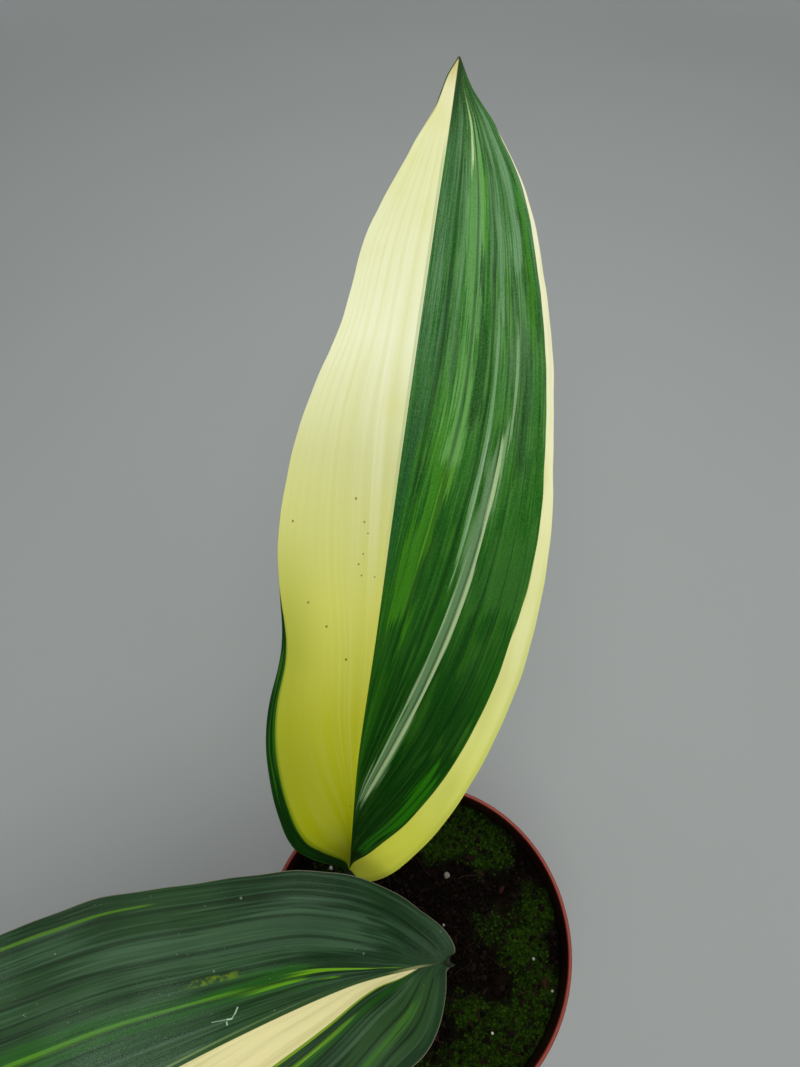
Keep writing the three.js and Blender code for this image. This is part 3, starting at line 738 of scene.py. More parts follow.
def upright_finish():
    """Cream on the left of the midrib; on the right green, streaked, with a cream margin."""
    f = LeafFinish("leaf_upright")

    # Cream, more yellow towards the stalk, with faint lines along the veins
    cream = f.ramp(f.t, [
        (0.05, (166, 172, 10)), (0.12, (172, 177, 12)), (0.22, (182, 185, 44)), (0.33, (204, 205, 96)),
        (0.47, (205, 207, 144)), (0.6, (230, 232, 192)), (0.82, (218, 220, 166)), (0.94, (220, 218, 168)),
        (0.985, (196, 180, 110)),
    ])
    cream = f.layers(cream, [
        (("lines", 9, 1.2, 3), 0.5, 0.72, 0, 0.3, (240, 240, 212)),
        (("lines", 7, 1.5, 8), 0.52, 0.7, 0.25, 0, (206, 206, 112)),
        (("ragged",), 0.54, 0.62, 0.05, 0.06, (200, 200, 108)),
        # Darker in the hollows of the pleats: painted crease shade
        (("pleat",), 0, -1, 0.05, 0.13, (196, 196, 112)),
        (("fine_lines", 30, 1.5, 5), 0.56, 0.66, 0.07, 0, (236, 236, 160)),
        (("noise", 34, 2), 0.45, 0.7, 0, 0.22, (208, 208, 116)),
    ], f.step(f.t, 0.28, 0.5))
    beside = f.band(f.reach, -0.8, 0.3, 0.5) * f.step(f.t, 0.3, 0.5) * f.step(f.t, 0.88, 0.82)
    cream = f.mix(beside * 0.6, cream, (160, 180, 124))
    outer = f.step(f.out, 0.62, 0.97) * f.step(f.t, 0.42, 0.26) * f.step(f.t, 0.1, 0.2)
    cream = f.mix(outer * 0.6, cream, (142, 150, 34))
    cream = f.mix(f.step(f.t, 0.12, 0.05) * 0.4, cream, (112, 124, 8))
    for t, share, size in BROWN_SPECKS:
        cream = f.spot(cream, t, -share, size, (104, 74, 26))

    # Green: broad tones, greyer higher up where they are partly a painted sheen, streaks, and creases
    # darkened with painted shade
    green = f.ramp(f.t, [
        (0.05, (7, 46, 2)), (0.25, (9, 60, 3)), (0.42, (22, 84, 10)), (0.58, (42, 102, 32)),
        (0.75, (50, 106, 48)), (0.86, (38, 92, 36)), (0.95, (10, 54, 8)),
    ])
    upper = f.step(f.t, 0.25, 0.6)
    green = f.layers(green, [
        (("lines", 6, 2.5, 31), 0.42, 0.7, 0.5, 0, (40, 104, 12)),
        (("lines", 13, 7, 37), 0.5, 0.64, 0.3, 0.35, (8, 52, 6)),
        (("lines", 22, 11, 41), 0.54, 0.66, 0.25, 0.25, (62, 122, 26)),
        (("fine_lines", 60, 12, 51), 0.48, 0.62, 0.1, 0.3, (86, 142, 56)),
        (("fine_lines", 50, 9, 61), 0.5, 0.62, 0.4, 0, (6, 46, 4)),
    ], upper)
    for streak in UPRIGHT_STREAKS:
        green = f.streak(green, *streak)
    # A pale veil over the upper part of the green: painted sheen
    painted_sheen = f.step(f.t, 0.4, 0.7) * f.step(f.t, 0.95, 0.85) * f.step(f.lines(8, 2.5, 81), 0.35, 0.62)
    green = f.mix(painted_sheen * f.step(f.ragged, 0.35, 0.6) * 0.45, green, (122, 160, 116))
    f.cells = f.noise(1500, 3)
    green = f.layers(green, [
        (("cells",), 0.48, 0.68, 0.03, 0.19, (98, 146, 74)),
        (("cells",), 0.5, 0.32, 0.06, 0.16, (6, 44, 6)),
    ], upper)
    heart = f.band(f.reach, 0.6, 0.8, 1.4) * f.step(f.t, 0.8, 0.95)
    green = f.mix(heart * 0.7, green, (8, 38, 10))
    # Darker in the hollows of the pleats: painted crease shade
    green = f.mix(f.step(f.pleat, -0.8, -1) * 0.55, green, (8, 42, 8))

    # Where each lies
    jag = (f.ragged - 0.5) * 0.016
    limit = 0.913 + f.step(f.t, 0.32, 0.37) * 0.012 + f.step(f.t, 0.72, 0.86) * 0.05
    margin = f.step(f.out + jag - limit, 0.0, 0.005) * f.step(f.t, 0.885, 0.865)
    rim = f.ramp(f.t, [
        (0.03, (250, 252, 74)), (0.12, (222, 226, 84)), (0.3, (220, 222, 150)), (0.6, (226, 224, 186)),
    ])
    rim = f.mix(f.step(f.edge, 2.4, 0.6) * f.step(f.t, 0.5, 0.3) * 0.35, rim, (168, 180, 50))
    rim = f.mix(f.step(f.lines(12, 5, 71), 0.5, 0.64) * 0.35, rim, (186, 188, 78))
    right = f.mix(margin, green, rim)
    limit = 0.956 + f.step(f.t, 0.27, 0.37) * 0.05
    strip = f.step(f.out + jag - limit, 0.0, 0.007)
    strip_green = f.mix(f.step(f.ragged, 0.48, 0.58) * 0.6, (10, 46, 6), (50, 104, 18))
    beside = f.band(f.out - limit, 0.0, 0.003, 0.008) * f.step(f.t, 0.35, 0.25)
    left = f.mix(beside * 0.6, cream, (104, 132, 20))
    left = f.mix(strip, left, strip_green)
    left = f.mix(f.step(f.edge, 0.7, 0.3) * f.step(f.t, 0.86, 0.93), left, (50, 74, 26))
    whole = f.mix(f.right, left, right)
    whole = f.mix(f.step(f.t, 0.991, 0.999), whole, (44, 50, 16))
    whole = f.mix(f.under * 0.35, whole, (150, 165, 110))
    rough = 0.5 + f.ragged * 0.1 + f.under * 0.1
    return f.surface(whole, rough, f.relief(), Specular_IOR_Level=0.05)


# Streaks on the leaning blade, one of them a painted sheen: side, then as for the upright one
LEANING_STREAKS = [
    ("right", 0.58, 0.06, 0.16, 0.6, (30, 86, 14), 0.7),
    ("right", 0.602, 0.008, 0.05, 0.19, (104, 158, 16), 0.9),
    ("right", 0.53, 0.01, 0.12, 0.2, (84, 144, 16), 0.85),
    ("right", 0.56, 0.01, 0.16, 0.25, (92, 150, 18), 0.8),
    ("right", 0.592, 0.01, 0.21, 0.62, (78, 134, 18), 0.8),
    ("right", 0.965, 0.003, 0.24, 0.6, (76, 122, 20), 0.75),
    ("right", 0.42, 0.01, 0.2, 0.5, (76, 104, 78), 0.45),
    ("right", 0.24, 0.012, 0.24, 0.31, (96, 120, 88), 0.6),
    # This broad pale band is a painted sheen
    ("right", 0.82, 0.09, 0.09, 0.36, (72, 104, 74), 0.32),
    ("left", 0.895, 0.015, 0.06, 0.26, (66, 120, 20), 0.75),
    ("left", 0.705, 0.013, 0.13, 0.4, (106, 156, 28), 0.85),
    ("left", 0.88, 0.08, 0.03, 0.3, (50, 82, 40), 0.5),
    ("left", 0.73, 0.02, 0.05, 0.3, (30, 84, 14), 0.5),
    ("left", 0.8, 0.016, 0.04, 0.4, (66, 96, 66), 0.5),
]

# Fibres of lint on its right half: start and end, each along the blade and from the midrib, half the
# thickness, all in millimetres, and strength
LINT = [
    ((87, 7), (88, 5.8), 0.2, 0.75),
    ((88, 5.8), (89.2, 4.8), 0.15, 0.65),
    ((89.2, 4.8), (90.4, 5.2), 0.2, 0.85),
    ((90.4, 5.2), (94.5, 6.3), 0.14, 0.45),
    ((90.7, 4.5), (90.8, 3.9), 0.2, 0.7),
]


def leaning_finish():
    """Dark green with a dusty film that is partly painted sheen, yellow-green streaks and a cream stripe
    beside the midrib.
    """
    f = LeafFinish("leaf_leaning")
    green = f.mix(f.step(f.noise(14, 3), 0.35, 0.65), (8, 34, 8), (33, 64, 30))
    green = f.layers(green, [
        (("lines", 9, 6, 31), 0.45, 0.7, 0.32, 0, (42, 76, 44)),
        (("lines", 16, 7, 37), 0.5, 0.68, 0.42, 0, (10, 38, 9)),
        (("fine_lines", 50, 9, 51), 0.5, 0.64, 0.28, 0, (74, 106, 76)),
        (("fine_lines", 40, 7, 61), 0.55, 0.64, 0.6, 0, (6, 30, 6)),
    ])
    # A greyish veil near the stalk: painted sheen
    green = f.mix(f.step(f.t, 0.1, 0.02) * f.step(f.grain, 0.3, 0.7) * 0.4, green, (66, 88, 66))
    for side, *streak in LEANING_STREAKS:
        green = f.mix(getattr(f, side), green, f.streak(green, *streak))
    # Darker in the hollows of the pleats: painted crease shade
    green = f.mix(f.step(f.pleat, -0.7, -1) * 0.6, green, (5, 26, 5))
    blotch = f.band(f.out, 0.675, 0.008, 0.016) * f.band(f.t, 0.234, 0.01, 0.012) * f.right
    blotch = blotch * f.step(f.noise(500, 3), 0.4, 0.58)
    green = f.mix(blotch * 0.8, green, (96, 120, 16))

    # The cream stripe on the left of the midrib, edged yellow-green
    limit = 0.64 + f.step(f.t, 0.11, 0.05) * 0.1 + (f.ragged - 0.5) * 0.014
    clear = f.step(0 - f.reach, 0.45, 0.75)
    inside = clear * f.step(limit - f.out, 0.0, 0.006) * f.step(f.t, 0.045, 0.06)
    fringe = clear * f.band(limit - f.out, -0.004, 0.006, 0.006) * f.step(f.t, 0.05, 0.08)
    stripe = f.mix(f.step(f.lines(26, 2, 71), 0.5, 0.66) * 0.35, (216, 207, 150), (194, 186, 126))
    stripe = f.mix(f.step(f.ragged, 0.5, 0.6) * 0.2, stripe, (178, 172, 110))
    green = f.mix(fringe * 0.85, green, (116, 146, 18))
    whole = f.mix(inside, green, stripe)
    line = f.band(f.reach, 0.9, 0.15, 0.35) * f.step(f.t, 0.1, 0.3) * 0.7
    beside = f.ramp(f.t, [(0.12, (80, 110, 66)), (0.26, (120, 146, 84)), (0.32, (146, 168, 104))])
    whole = f.mix(line, whole, beside)
    midrib = f.step(f.math("ABSOLUTE", f.reach), 0.7, 0.35)
    whole = f.mix(midrib * 0.85, whole, f.ramp(f.t, [
        (0.0, (30, 40, 18)), (0.025, (64, 78, 44)), (0.045, (140, 142, 92)), (0.065, (128, 132, 82)),
        (0.09, (44, 70, 28)), (0.3, (36, 70, 26)),
    ]))

    # Dust and painted sheen, specks and the thin pale edge
    # A bluish-grey film over the blade: dust, and painted sheen
    dust_film_and_sheen = f.step(f.noise(24, 5), 0.38, 0.68) * (0.5 + f.step(f.ragged, 0.42, 0.58) * 0.5)
    dust_film_and_sheen = dust_film_and_sheen * f.step(f.noise(3200, 2), 0.25, 0.7) * (1 - f.under)
    dust_film_and_sheen = dust_film_and_sheen * (0.2 + f.step(f.t, 0.14, 0.34) * 0.36) * f.step(f.reach, -8, 4)
    whole = f.mix(dust_film_and_sheen, whole, (98, 122, 102))
    dust = f.step(f.noise(1100, 2), 0.73, 0.78) * f.step(f.noise(60, 3), 0.42, 0.6)
    dust = dust + f.dots(160, 0.08, 0.18) * 0.5
    whole = f.mix(dust * (1 - f.under) * 0.7, whole, (150, 162, 140))
    for start, end, half, strength in LINT:
        whole = f.stroke(whole, start, end, half, (176, 206, 176), strength)
    whole = f.mix(f.step(f.edge, 0.3, 0.08) * f.step(f.t, 0.008, 0.02) * 0.6, whole, (124, 120, 100))
    # Nearly black at the blade's foot: painted shade
    whole = f.mix(f.step(f.t, 0.014, 0.005) * 0.8, whole, (24, 32, 14))
    whole = f.mix(f.under * 0.3, whole, (90, 118, 84))
    rough = 0.48 + dust_film_and_sheen * 0.3 + f.under * 0.12
    return f.surface(whole, rough, f.relief(), Specular_IOR_Level=0.1)


def stalk_finish():
    f = Finish("leaf_stalk")
    height = f.attribute("height")
    stretched = f.node("ShaderNodeMapping", {}, {"Vector": f.place, "Scale": (900, 900, 40)})
    tone = f.noise(1.0, 3, place=stretched)
    green = f.mix(f.step(height, 0.0, 0.5), (120, 128, 62), (58, 92, 30))
    green = f.mix(f.step(height, 0.6, 0.9), green, (34, 54, 18))
    # Nearly black where the stalk meets the blade: painted shade
    green = f.mix(f.step(height, 0.93, 0.99), green, (18, 26, 10))
    green = f.mix(f.step(tone, 0.45, 0.7) * f.step(height, 0.9, 0.5) * 0.45, green, (92, 118, 54))
    return f.surface(green, 0.42 + tone * 0.15, f.bump(tone, 0.4, 0.2), Specular_IOR_Level=0.45)


def sheath_finish():
    f = Finish("dry_sheath")
    side, height, _ = f.parts("place")
    ribs = f.noise(1.0, 3, place=f.vector(side * 26, height * 3))
    dry = f.mix(f.step(height, 0.1, 0.9), (122, 112, 62), (148, 116, 72))
    dry = f.mix(f.step(ribs, 0.45, 0.65) * 0.7, dry, (84, 60, 34))
    dry = f.mix(f.step(height, 0.8, 1.0) * 0.7, dry, (70, 44, 24))
    return f.surface(dry, 0.75, f.bump(ribs, 0.6, 0.3))


# ---------------------------------------------------------------- rhizome


def build_rhizome(finish):
    """The creeping stem, with rings of leaf scars and a rough bark."""
    q = np.linspace(0, 1, len(RHIZOME["path"]))
    path = Path(along([[s, *p] for s, p in zip(q, RHIZOME["path"])], np.linspace(0, 1, 300)))
    q = np.linspace(0, 1, RHIZOME["stations"])
    length = q * path.length
    forward = path.forward(length)
    across = unit(np.cross(forward, [0, 0, 1]))
    up = np.cross(across, forward)
    into_tip = np.maximum(0, 1 - np.minimum(q, 1 - q) * path.length / RHIZOME["radius"])
    taper = lerp(RHIZOME["tip_share"], 1, np.sqrt(1 - into_tip ** 2))
    scars = np.abs(np.sin(math.pi * length / RHIZOME["internode"])) ** RHIZOME["ring_sharpness"]
    radius = RHIZOME["radius"] - RHIZOME["bark_sink"] - RHIZOME["ring_rise"] * scars
    rings = []
    for i, centre in enumerate(path.at(length)):
        ring = []
        for angle in np.arange(RHIZOME["sides"]) * 2 * math.pi / RHIZOME["sides"]:
            out = up[i] * math.sin(angle) - across[i] * math.cos(angle)
            rough = noise.fractal(Vector(centre * 0.35 + out * 1.3), 1.0, 2.0, 3)
            ring.append(centre + out * (radius[i] + RHIZOME["bark_rise"] * rough) * taper[i])
        rings.append(ring)
    return lofted("rhizome_skin", rings, finish)


def rhizome_finish():
    f = Finish("rhizome_bark")
    tone = f.noise(320, 5, 0.65)
    bark = f.mix(f.step(tone, 0.35, 0.65), (74, 56, 30), (150, 128, 80))
    damp = f.step(f.height(), (SOIL_TOP + 4) * MM, (SOIL_TOP - 1) * MM)
    bark = f.mix(damp, bark, (30, 22, 14))
    return f.surface(bark, 0.8, f.bump(tone, 0.6, 0.5))


# ---------------------------------------------------------------- pot

POT_DETAIL = {"step": 6, "segments": 224}


def rounded(corners):
    """A profile through [radius, height, rounding] corners, with each corner rounded."""
    profile = [corners[0][:2]]
    for before, corner, after in zip(corners, corners[1:], corners[2:]):
        point = np.array(corner[:2], float)
        to_before, to_after = np.array(before[:2]) - point, np.array(after[:2]) - point
        start = point + to_before * corner[2] / np.linalg.norm(to_before)
        end = point + to_after * corner[2] / np.linalg.norm(to_after)
        for q in np.linspace(0, 1, 5):
            profile.append(tuple((1 - q) ** 2 * start + 2 * (1 - q) * q * point + q ** 2 * end))
    profile.append(corners[-1][:2])
    return profile


def densely(profile, step):
    """The same profile with more points on its long straight stretches."""
    dense = [profile[0]]
    for start, end in zip(profile, profile[1:]):
        count = max(1, round(math.dist(start, end) / step))
        dense += [tuple(lerp(np.array(start), np.array(end), k / count)) for k in range(1, count + 1)]
    return dense


def build_pot(finish):
    inside = RIM_RADIUS - LIP_WIDTH
    corners = [
        (0, 0, 0),
        (BASE_RADIUS, 0, 1.2),
        (SHOULDER_RADIUS, BAND_BOTTOM, 0.5),
        (BAND_RADIUS, BAND_BOTTOM + 0.3, 0.6),
        (RIM_RADIUS, POT_HEIGHT, 0.7),
        (inside, POT_HEIGHT, 0.7),
        (BAND_RADIUS - WALL, BAND_BOTTOM + 1, 0.5),
        (SHOULDER_RADIUS - WALL, BAND_BOTTOM, 0.5),
        (BASE_RADIUS - WALL, FLOOR, 1.2),
        (0, FLOOR, 0),
    ]
    points, faces = turned_mesh(densely(rounded(corners), POT_DETAIL["step"]), POT_DETAIL["segments"])
    pot = mesh_object("pot_shell", points, faces, finish, sharp=40)
    build = bmesh.new()
    for k in range(DRAIN["count"]):
        hole = bmesh.ops.create_cone(
            build, cap_ends=True, segments=32, depth=4 * FLOOR * MM,
            radius1=DRAIN["radius"] * MM, radius2=DRAIN["radius"] * MM,
        )
        angle = k / DRAIN["count"] * 2 * math.pi
        centre = Vector((math.cos(angle), math.sin(angle), 0)) * DRAIN["ring"] * MM
        bmesh.ops.translate(build, verts=hole["verts"], vec=centre)
    cutter = link("drain_cutter", built_mesh("drain_cutter", build))
    cut = pot.modifiers.new("drain_holes", "BOOLEAN")
    cut.object = cutter
    cut.operation = "DIFFERENCE"
    cut.solver = "EXACT"
    pot.data = plain_mesh(pot)
    bpy.data.objects.remove(cutter)
    return pot


def built_mesh(name, build):
    mesh = bpy.data.meshes.new(name)
    build.to_mesh(mesh)
    build.free()
    return mesh


def plain_mesh(piece):
    """The result of a piece's modifiers, which are removed, as a plain mesh."""
    depsgraph = bpy.context.evaluated_depsgraph_get()
    made = bpy.data.meshes.new_from_object(piece.evaluated_get(depsgraph), depsgraph=depsgraph)
    piece.modifiers.clear()
    return made


# How the band's wall leans out, and the radius of its inner face carried down to the pot's foot
BAND_SLOPE = (RIM_RADIUS - BAND_RADIUS) / (POT_HEIGHT - BAND_BOTTOM)
INNER_FOOT = RIM_RADIUS - LIP_WIDTH - BAND_SLOPE * POT_HEIGHT


def pot_finish():
    """Moulded terracotta-coloured plastic, a little chalky, paler on the worn lip."""
    f = Finish("pot_plastic")
    height = f.height()
    clay = f.mix(f.step(f.noise(30, 4), 0.35, 0.7), (116, 38, 24), (130, 46, 30))
    chalk = f.step(f.noise(70, 5, 0.7), 0.52, 0.8)
    clay = f.mix(chalk * 0.22, clay, (164, 92, 74))
    lip = f.step(height, (POT_HEIGHT - 0.9) * MM, (POT_HEIGHT - 0.1) * MM)
    clay = f.mix(lip * 0.25, clay, (156, 72, 56))
    # The band's inner face darkens from dark red at the lip to near black at the soil: painted shade, and
    # stain from the soil
    inner = f.step(f.radius() - height * BAND_SLOPE, (INNER_FOOT + 0.4) * MM, (INNER_FOOT + 0.2) * MM)
    inner = inner * f.step(height, (BAND_BOTTOM - 1) * MM, BAND_BOTTOM * MM)
    inner = inner * f.step(height, (POT_HEIGHT - 0.1) * MM, (POT_HEIGHT - 0.5) * MM)
    ragged = height + f.noise(240, 4) * 2 * MM
    stain_and_shade = f.step(ragged, (POT_HEIGHT + 0.2) * MM, (POT_HEIGHT - 1.5) * MM)
    clay = f.mix(inner * 0.95, clay, f.mix(stain_and_shade, (70, 22, 14), (9, 6, 4)))
    grain = f.noise(1400, 2)
    rough = 0.42 + chalk * 0.25
    return f.surface(clay, rough, f.bump(grain, 0.15, 0.1), Specular_IOR_Level=0.3)


# ---------------------------------------------------------------- soil, moss and what lies on it

# Where moss grows: x, y and radius in millimetres
MOSS_PATCHES = [
    (14, 46, 14), (32, 40, 11), (54, 13, 9), (46, -1, 10), (52, -20, 12), (44, -36, 16), (26, -46, 15),
    (8, -52, 11), (-30, -42, 15), (-50, 12, 11), (-34, 40, 12), (30, 6, 6), (20, -26, 7),
]
SOIL_SEED = 4
CLODS = {"turns": 0.16, "height": 0.75}
MOSS = {"height": 0.5, "ragged": 5, "turns": 0.09, "full": -5, "none": 4}
BARE_BESIDE = {"wall": 1.2, "rhizome": 6.2}
# About the golden angle, in radians, so that no two of a row lie alike
GOLDEN_TURN = 2.4


def soil_height(x, y):
    """Height of the soil at a point: the swells of its solid, clods and moss cushions."""
    height = SOIL_TOP
    for swell in SOIL_SWELLS:
        turn_x = swell["turns_x"] * x + swell["start_x"]
        turn_y = swell["turns_y"] * y + swell["start_y"]
        height += swell["height"] * math.sin(turn_x) * math.sin(turn_y)
    clods = noise.fractal(Vector((x * CLODS["turns"], y * CLODS["turns"], SOIL_SEED)), 0.9, 2.1, 5)
    return height + CLODS["height"] * clods + MOSS["height"] * moss_share(x, y)


def moss_share(x, y):
    """How thickly moss grows at a point, from 0 to 1."""
    place = Vector((x * MOSS["turns"], y * MOSS["turns"], 7 + SOIL_SEED))
    ragged = MOSS["ragged"] * noise.fractal(place, 1.0, 2.0, 4)
    share = 0
    for centre_x, centre_y, radius in MOSS_PATCHES:
        gap = math.dist((x, y), (centre_x, centre_y)) - radius + ragged
        share = max(share, 1 - float(smooth(gap, MOSS["full"], MOSS["none"])))
    return share


def build_soil(finish):
    """The body of soil, with a fine uneven top. Its points carry how mossy they are."""
    rings, segments = 92, 256
    profile = [
        (0, FLOOR + 0.1),
        (BASE_RADIUS - WALL - 1.2, FLOOR + 0.1),
        (SHOULDER_RADIUS - WALL - 0.25, BAND_BOTTOM),
        (BAND_RADIUS - WALL - 0.2, BAND_BOTTOM + 1.2),
    ]
    profile += [(SOIL_EDGE * (1 - k / rings), SOIL_TOP) for k in range(rings + 1)]
    points, faces = turned_mesh(profile, segments)
    mossy = np.zeros(len(points))
    top = points[:, 2] > SOIL_TOP - 1
    for i in np.flatnonzero(top):
        x, y = points[i, :2]
        points[i, 2] = soil_height(x, y)
        mossy[i] = moss_share(x, y)
    inner = np.hypot(points[:, 0], points[:, 1]) < SOIL_EDGE - BARE_BESIDE["wall"]
    open_ground = top & inner & (rhizome_gap(points) > BARE_BESIDE["rhizome"])
    marks = {"moss": mossy, "open_ground": open_ground, "moss_ground": open_ground * mossy}
    return mesh_object("soil_body", points, faces, finish, marks)


def rhizome_gap(points):
    """Each point's distance in plan from the line of the rhizome."""
    line = np.array(RHIZOME["path"], float)[:, :2]
    dense = np.concatenate([lerp(a, b, np.linspace(0, 1, 12)[:, None]) for a, b in zip(line, line[1:])])
    return np.min(np.linalg.norm(points[:, None, :2] - dense[None], axis=2), axis=1)


def soil_finish():
    f = Finish("potting_soil")
    moss = f.attribute("moss")
    crumbs = f.noise(900, 4, 0.7)
    # Near-black earth and dark moss: the soil's own dark colour, darkened further as painted shade under the
    # leaves
    earth = f.mix(f.step(crumbs, 0.4, 0.7), (4, 3, 2), (20, 14, 10))
    reddish = f.step(f.noise(130, 3), 0.55, 0.75)
    earth = f.mix(reddish * 0.5, earth, (26, 16, 11))
    felt = f.mix(f.step(f.noise(420, 3), 0.35, 0.7), (12, 25, 3), (34, 56, 9))
    earth = f.mix(moss * 0.85, earth, felt)
    return f.surface(earth, 0.95, f.bump(crumbs, 0.9, 0.8), Specular_IOR_Level=0.02)


def tone_finish(name, low, high, rough, depth):
    """A finish whose colour varies from piece to piece and a little over each."""
    f = Finish(name)
    tone = f.attribute("tone")
    grain = f.noise(1200, 3)
    blended = f.mix(tone, low, high)
    blended = f.mix(f.step(grain, 0.4, 0.8) * 0.4, blended, low)
    return f.surface(blended, rough, f.bump(grain, 0.5, depth), Specular_IOR_Level=0.05)


def template(name, points, faces):
    """An unlinked shape, one unit across, that a rule sets out many times."""
    mesh = bpy.data.meshes.new(name)
    mesh.from_pydata([tuple(point) for point in points], [], faces)
    mesh.shade_smooth()
    return bpy.data.objects.new(name, mesh)


def lump_template(name, seed, flat=1.0, subdivisions=2, long=1.0):
    """An uneven lump, one unit across before it is flattened and drawn out."""
    build = bmesh.new()
    bmesh.ops.create_icosphere(build, subdivisions=subdivisions, radius=0.5)
    for vert in build.verts:
        push = 1 + 0.35 * noise.noise(vert.co * 3 + Vector((seed, 0, 0)))
        vert.co = Vector((vert.co.x * push * long, vert.co.y * push, vert.co.z * push * flat))
    return bpy.data.objects.new(name, built_mesh(name, build))


TUFT = {
    "leaves": 9, "root": 0.03, "half_width": 0.075, "depth": 0.08, "sink": 0.1, "reach": 0.6, "droop": 0.5,
}
FIBRE = {"points": 9, "sway": 0.12, "sway_turns": 5, "rise": 0.05, "radius": 0.012, "thinning": 0.6}


def tuft_template():
    """A tiny star of pointed moss leaves, each a slim three-sided spike, the later ones leaning out more."""
    points, faces = [], []
    for k in range(TUFT["leaves"]):
        cos, sin = math.cos(k * GOLDEN_TURN), math.sin(k * GOLDEN_TURN)
        lean = lerp(0.25, 1, k / TUFT["leaves"])
        out = np.array([cos, sin, 0])
        side = np.array([-sin, cos, 0]) * TUFT["half_width"]
        root = out * TUFT["root"]
        points += [root + side, root - side, root + out * TUFT["depth"] - (0, 0, TUFT["sink"])]
        points.append(out * lean * TUFT["reach"] + (0, 0, 1 - TUFT["droop"] * lean))
        a, b, c, tip = range(4 * k, 4 * k + 4)
        faces += [(a, b, tip), (b, c, tip), (c, a, tip), (b, a, c)]
    return template("moss_tuft", points, faces)


def fibre_template():
    """A bent root fibre, lying along X."""
    q = np.linspace(0, 1, FIBRE["points"])
    sway = FIBRE["sway"] * np.sin(q * FIBRE["sway_turns"])
    centre = np.stack([q - 0.5, sway, FIBRE["rise"] * np.sin(q * math.pi)], axis=-1)
    corners = np.array([(0, 1, 0), (0, 0, 1), (0, -1, 0), (0, 0, -1)])
    radius = FIBRE["radius"] * (1 - FIBRE["thinning"] * q)
    rings = centre[:, None] + radius[:, None, None] * corners
    return template("root_fibre", rings.reshape(-1, 3), loft_faces(len(q), len(corners)))


def scatter_rule():
    """Sets a shape out over a surface: denser where the mask is high, each turned and sized at random."""
    group = bpy.data.node_groups.new("scatter", "GeometryNodeTree")
    group.interface.new_socket("Geometry", in_out="OUTPUT", socket_type="NodeSocketGeometry")
    for label, kind in {
        "Geometry": "Geometry", "Shape": "Object", "Mask": "String", "Density": "Float", "Smallest": "Float",
        "Largest": "Float", "Tilt": "Float", "Seed": "Int", "Finish": "Material",
    }.items():
        group.interface.new_socket(label, in_out="INPUT", socket_type="NodeSocket" + kind)
    rule = Tree(group)
    node = rule.node
    give = node("NodeGroupInput", {}, {}).output

    def share(seed):
        """A random number from 0 to 1 for each point."""
        sockets = {2: 0.0, 3: 1.0, "Seed": give("Seed") + seed}
        return node("FunctionNodeRandomValue", {"data_type": "FLOAT"}, sockets, 1)

    mask = node("GeometryNodeInputNamedAttribute", {"data_type": "FLOAT"}, {"Name": give("Mask")})
    spread = node("GeometryNodeDistributePointsOnFaces", {}, {
        "Mesh": give("Geometry"), "Density": mask * give("Density"), "Seed": give("Seed"),
    }, "Points")
    size = give("Smallest") + (give("Largest") - give("Smallest")) * share(1) ** 2
    tilt = give("Tilt")
    turn = node("FunctionNodeRandomValue", {"data_type": "FLOAT_VECTOR"}, {
        0: node("ShaderNodeCombineXYZ", {}, {0: 0 - tilt, 1: 0 - tilt, 2: -math.pi}),
        1: node("ShaderNodeCombineXYZ", {}, {0: tilt, 1: tilt, 2: math.pi}),
        "Seed": give("Seed") + 2,
    })
    turned = node("FunctionNodeRotateRotation", {"rotation_space": "LOCAL"}, {
        "Rotation": spread.output("Rotation"),
        "Rotate By": node("FunctionNodeEulerToRotation", {}, {0: turn}),
    })
    shape = node("GeometryNodeObjectInfo", {}, {"Object": give("Shape")}, "Geometry")
    placed = node("GeometryNodeInstanceOnPoints", {}, {
        "Points": spread, "Instance": shape, "Rotation": turned, "Scale": size,
    })
    toned = node("GeometryNodeStoreNamedAttribute", {"data_type": "FLOAT", "domain": "INSTANCE"}, {
        "Geometry": placed, "Name": "tone", "Value": share(3),
    })
    real = node("GeometryNodeRealizeInstances", {}, {"Geometry": toned})
    done = node("GeometryNodeSetMaterial", {}, {"Geometry": real, "Material": give("Finish")})
    node("NodeGroupOutput", {}, {"Geometry": done})
    return rule


def scattered(name, ground, rule, values):
    """A plain mesh of what the rule sets out on the ground."""
    modifier = ground.modifiers.new(name, "NODES")
    modifier.node_group = rule.tree
    for item in rule.tree.interface.items_tree:
        if item.in_out == "INPUT" and item.name in values:
            modifier[item.identifier] = values[item.name]
    return link(name, plain_mesh(ground))


# The larger grains of perlite and chips of bark: x, y and width in millimetres
PERLITE = [
    (14, 27, 2.9), (50, -6, 1.4), (57, -18, 1.2), (12, 7, 1.3), (-38, 30, 2), (-14, 47, 1.4), (-30, -24, 1.8),
    (-6, -38, 1.3), (31, -33, 1.2), (-52, -8, 1.5),
]
CHIPS = [
    (24, 34, 3.4), (29, 28, 2.4), (54, -15, 2.8), (-2, 26, 2), (-26, 38, 2.8), (-44, -14, 3), (8, -34, 2.5),
    (38, 21, 2.1),
]
LAID_LIFT = 0.3
TONE_STEP = 0.37


def laid(name, shape, spots, finish):
    """Copies of a shape, half sunk into the soil at (x, y, size) spots, each turned and toned differently."""
    points, faces, tones = [], [], []
    own = np.array([vert.co for vert in shape.data.vertices])
    for k, (x, y, size) in enumerate(spots):
        cos, sin = math.cos(k * GOLDEN_TURN), math.sin(k * GOLDEN_TURN)
        spun = own @ np.array([[cos, sin, 0], [-sin, cos, 0], [0, 0, 1]])
        faces += [[len(points) + i for i in face.vertices] for face in shape.data.polygons]
        points += list(spun * size + (x, y, soil_height(x, y) + LAID_LIFT))
        tones += [k * TONE_STEP % 1] * len(own)
    bpy.data.objects.remove(shape)
    return mesh_object(name, points, faces, finish, {"tone": tones})


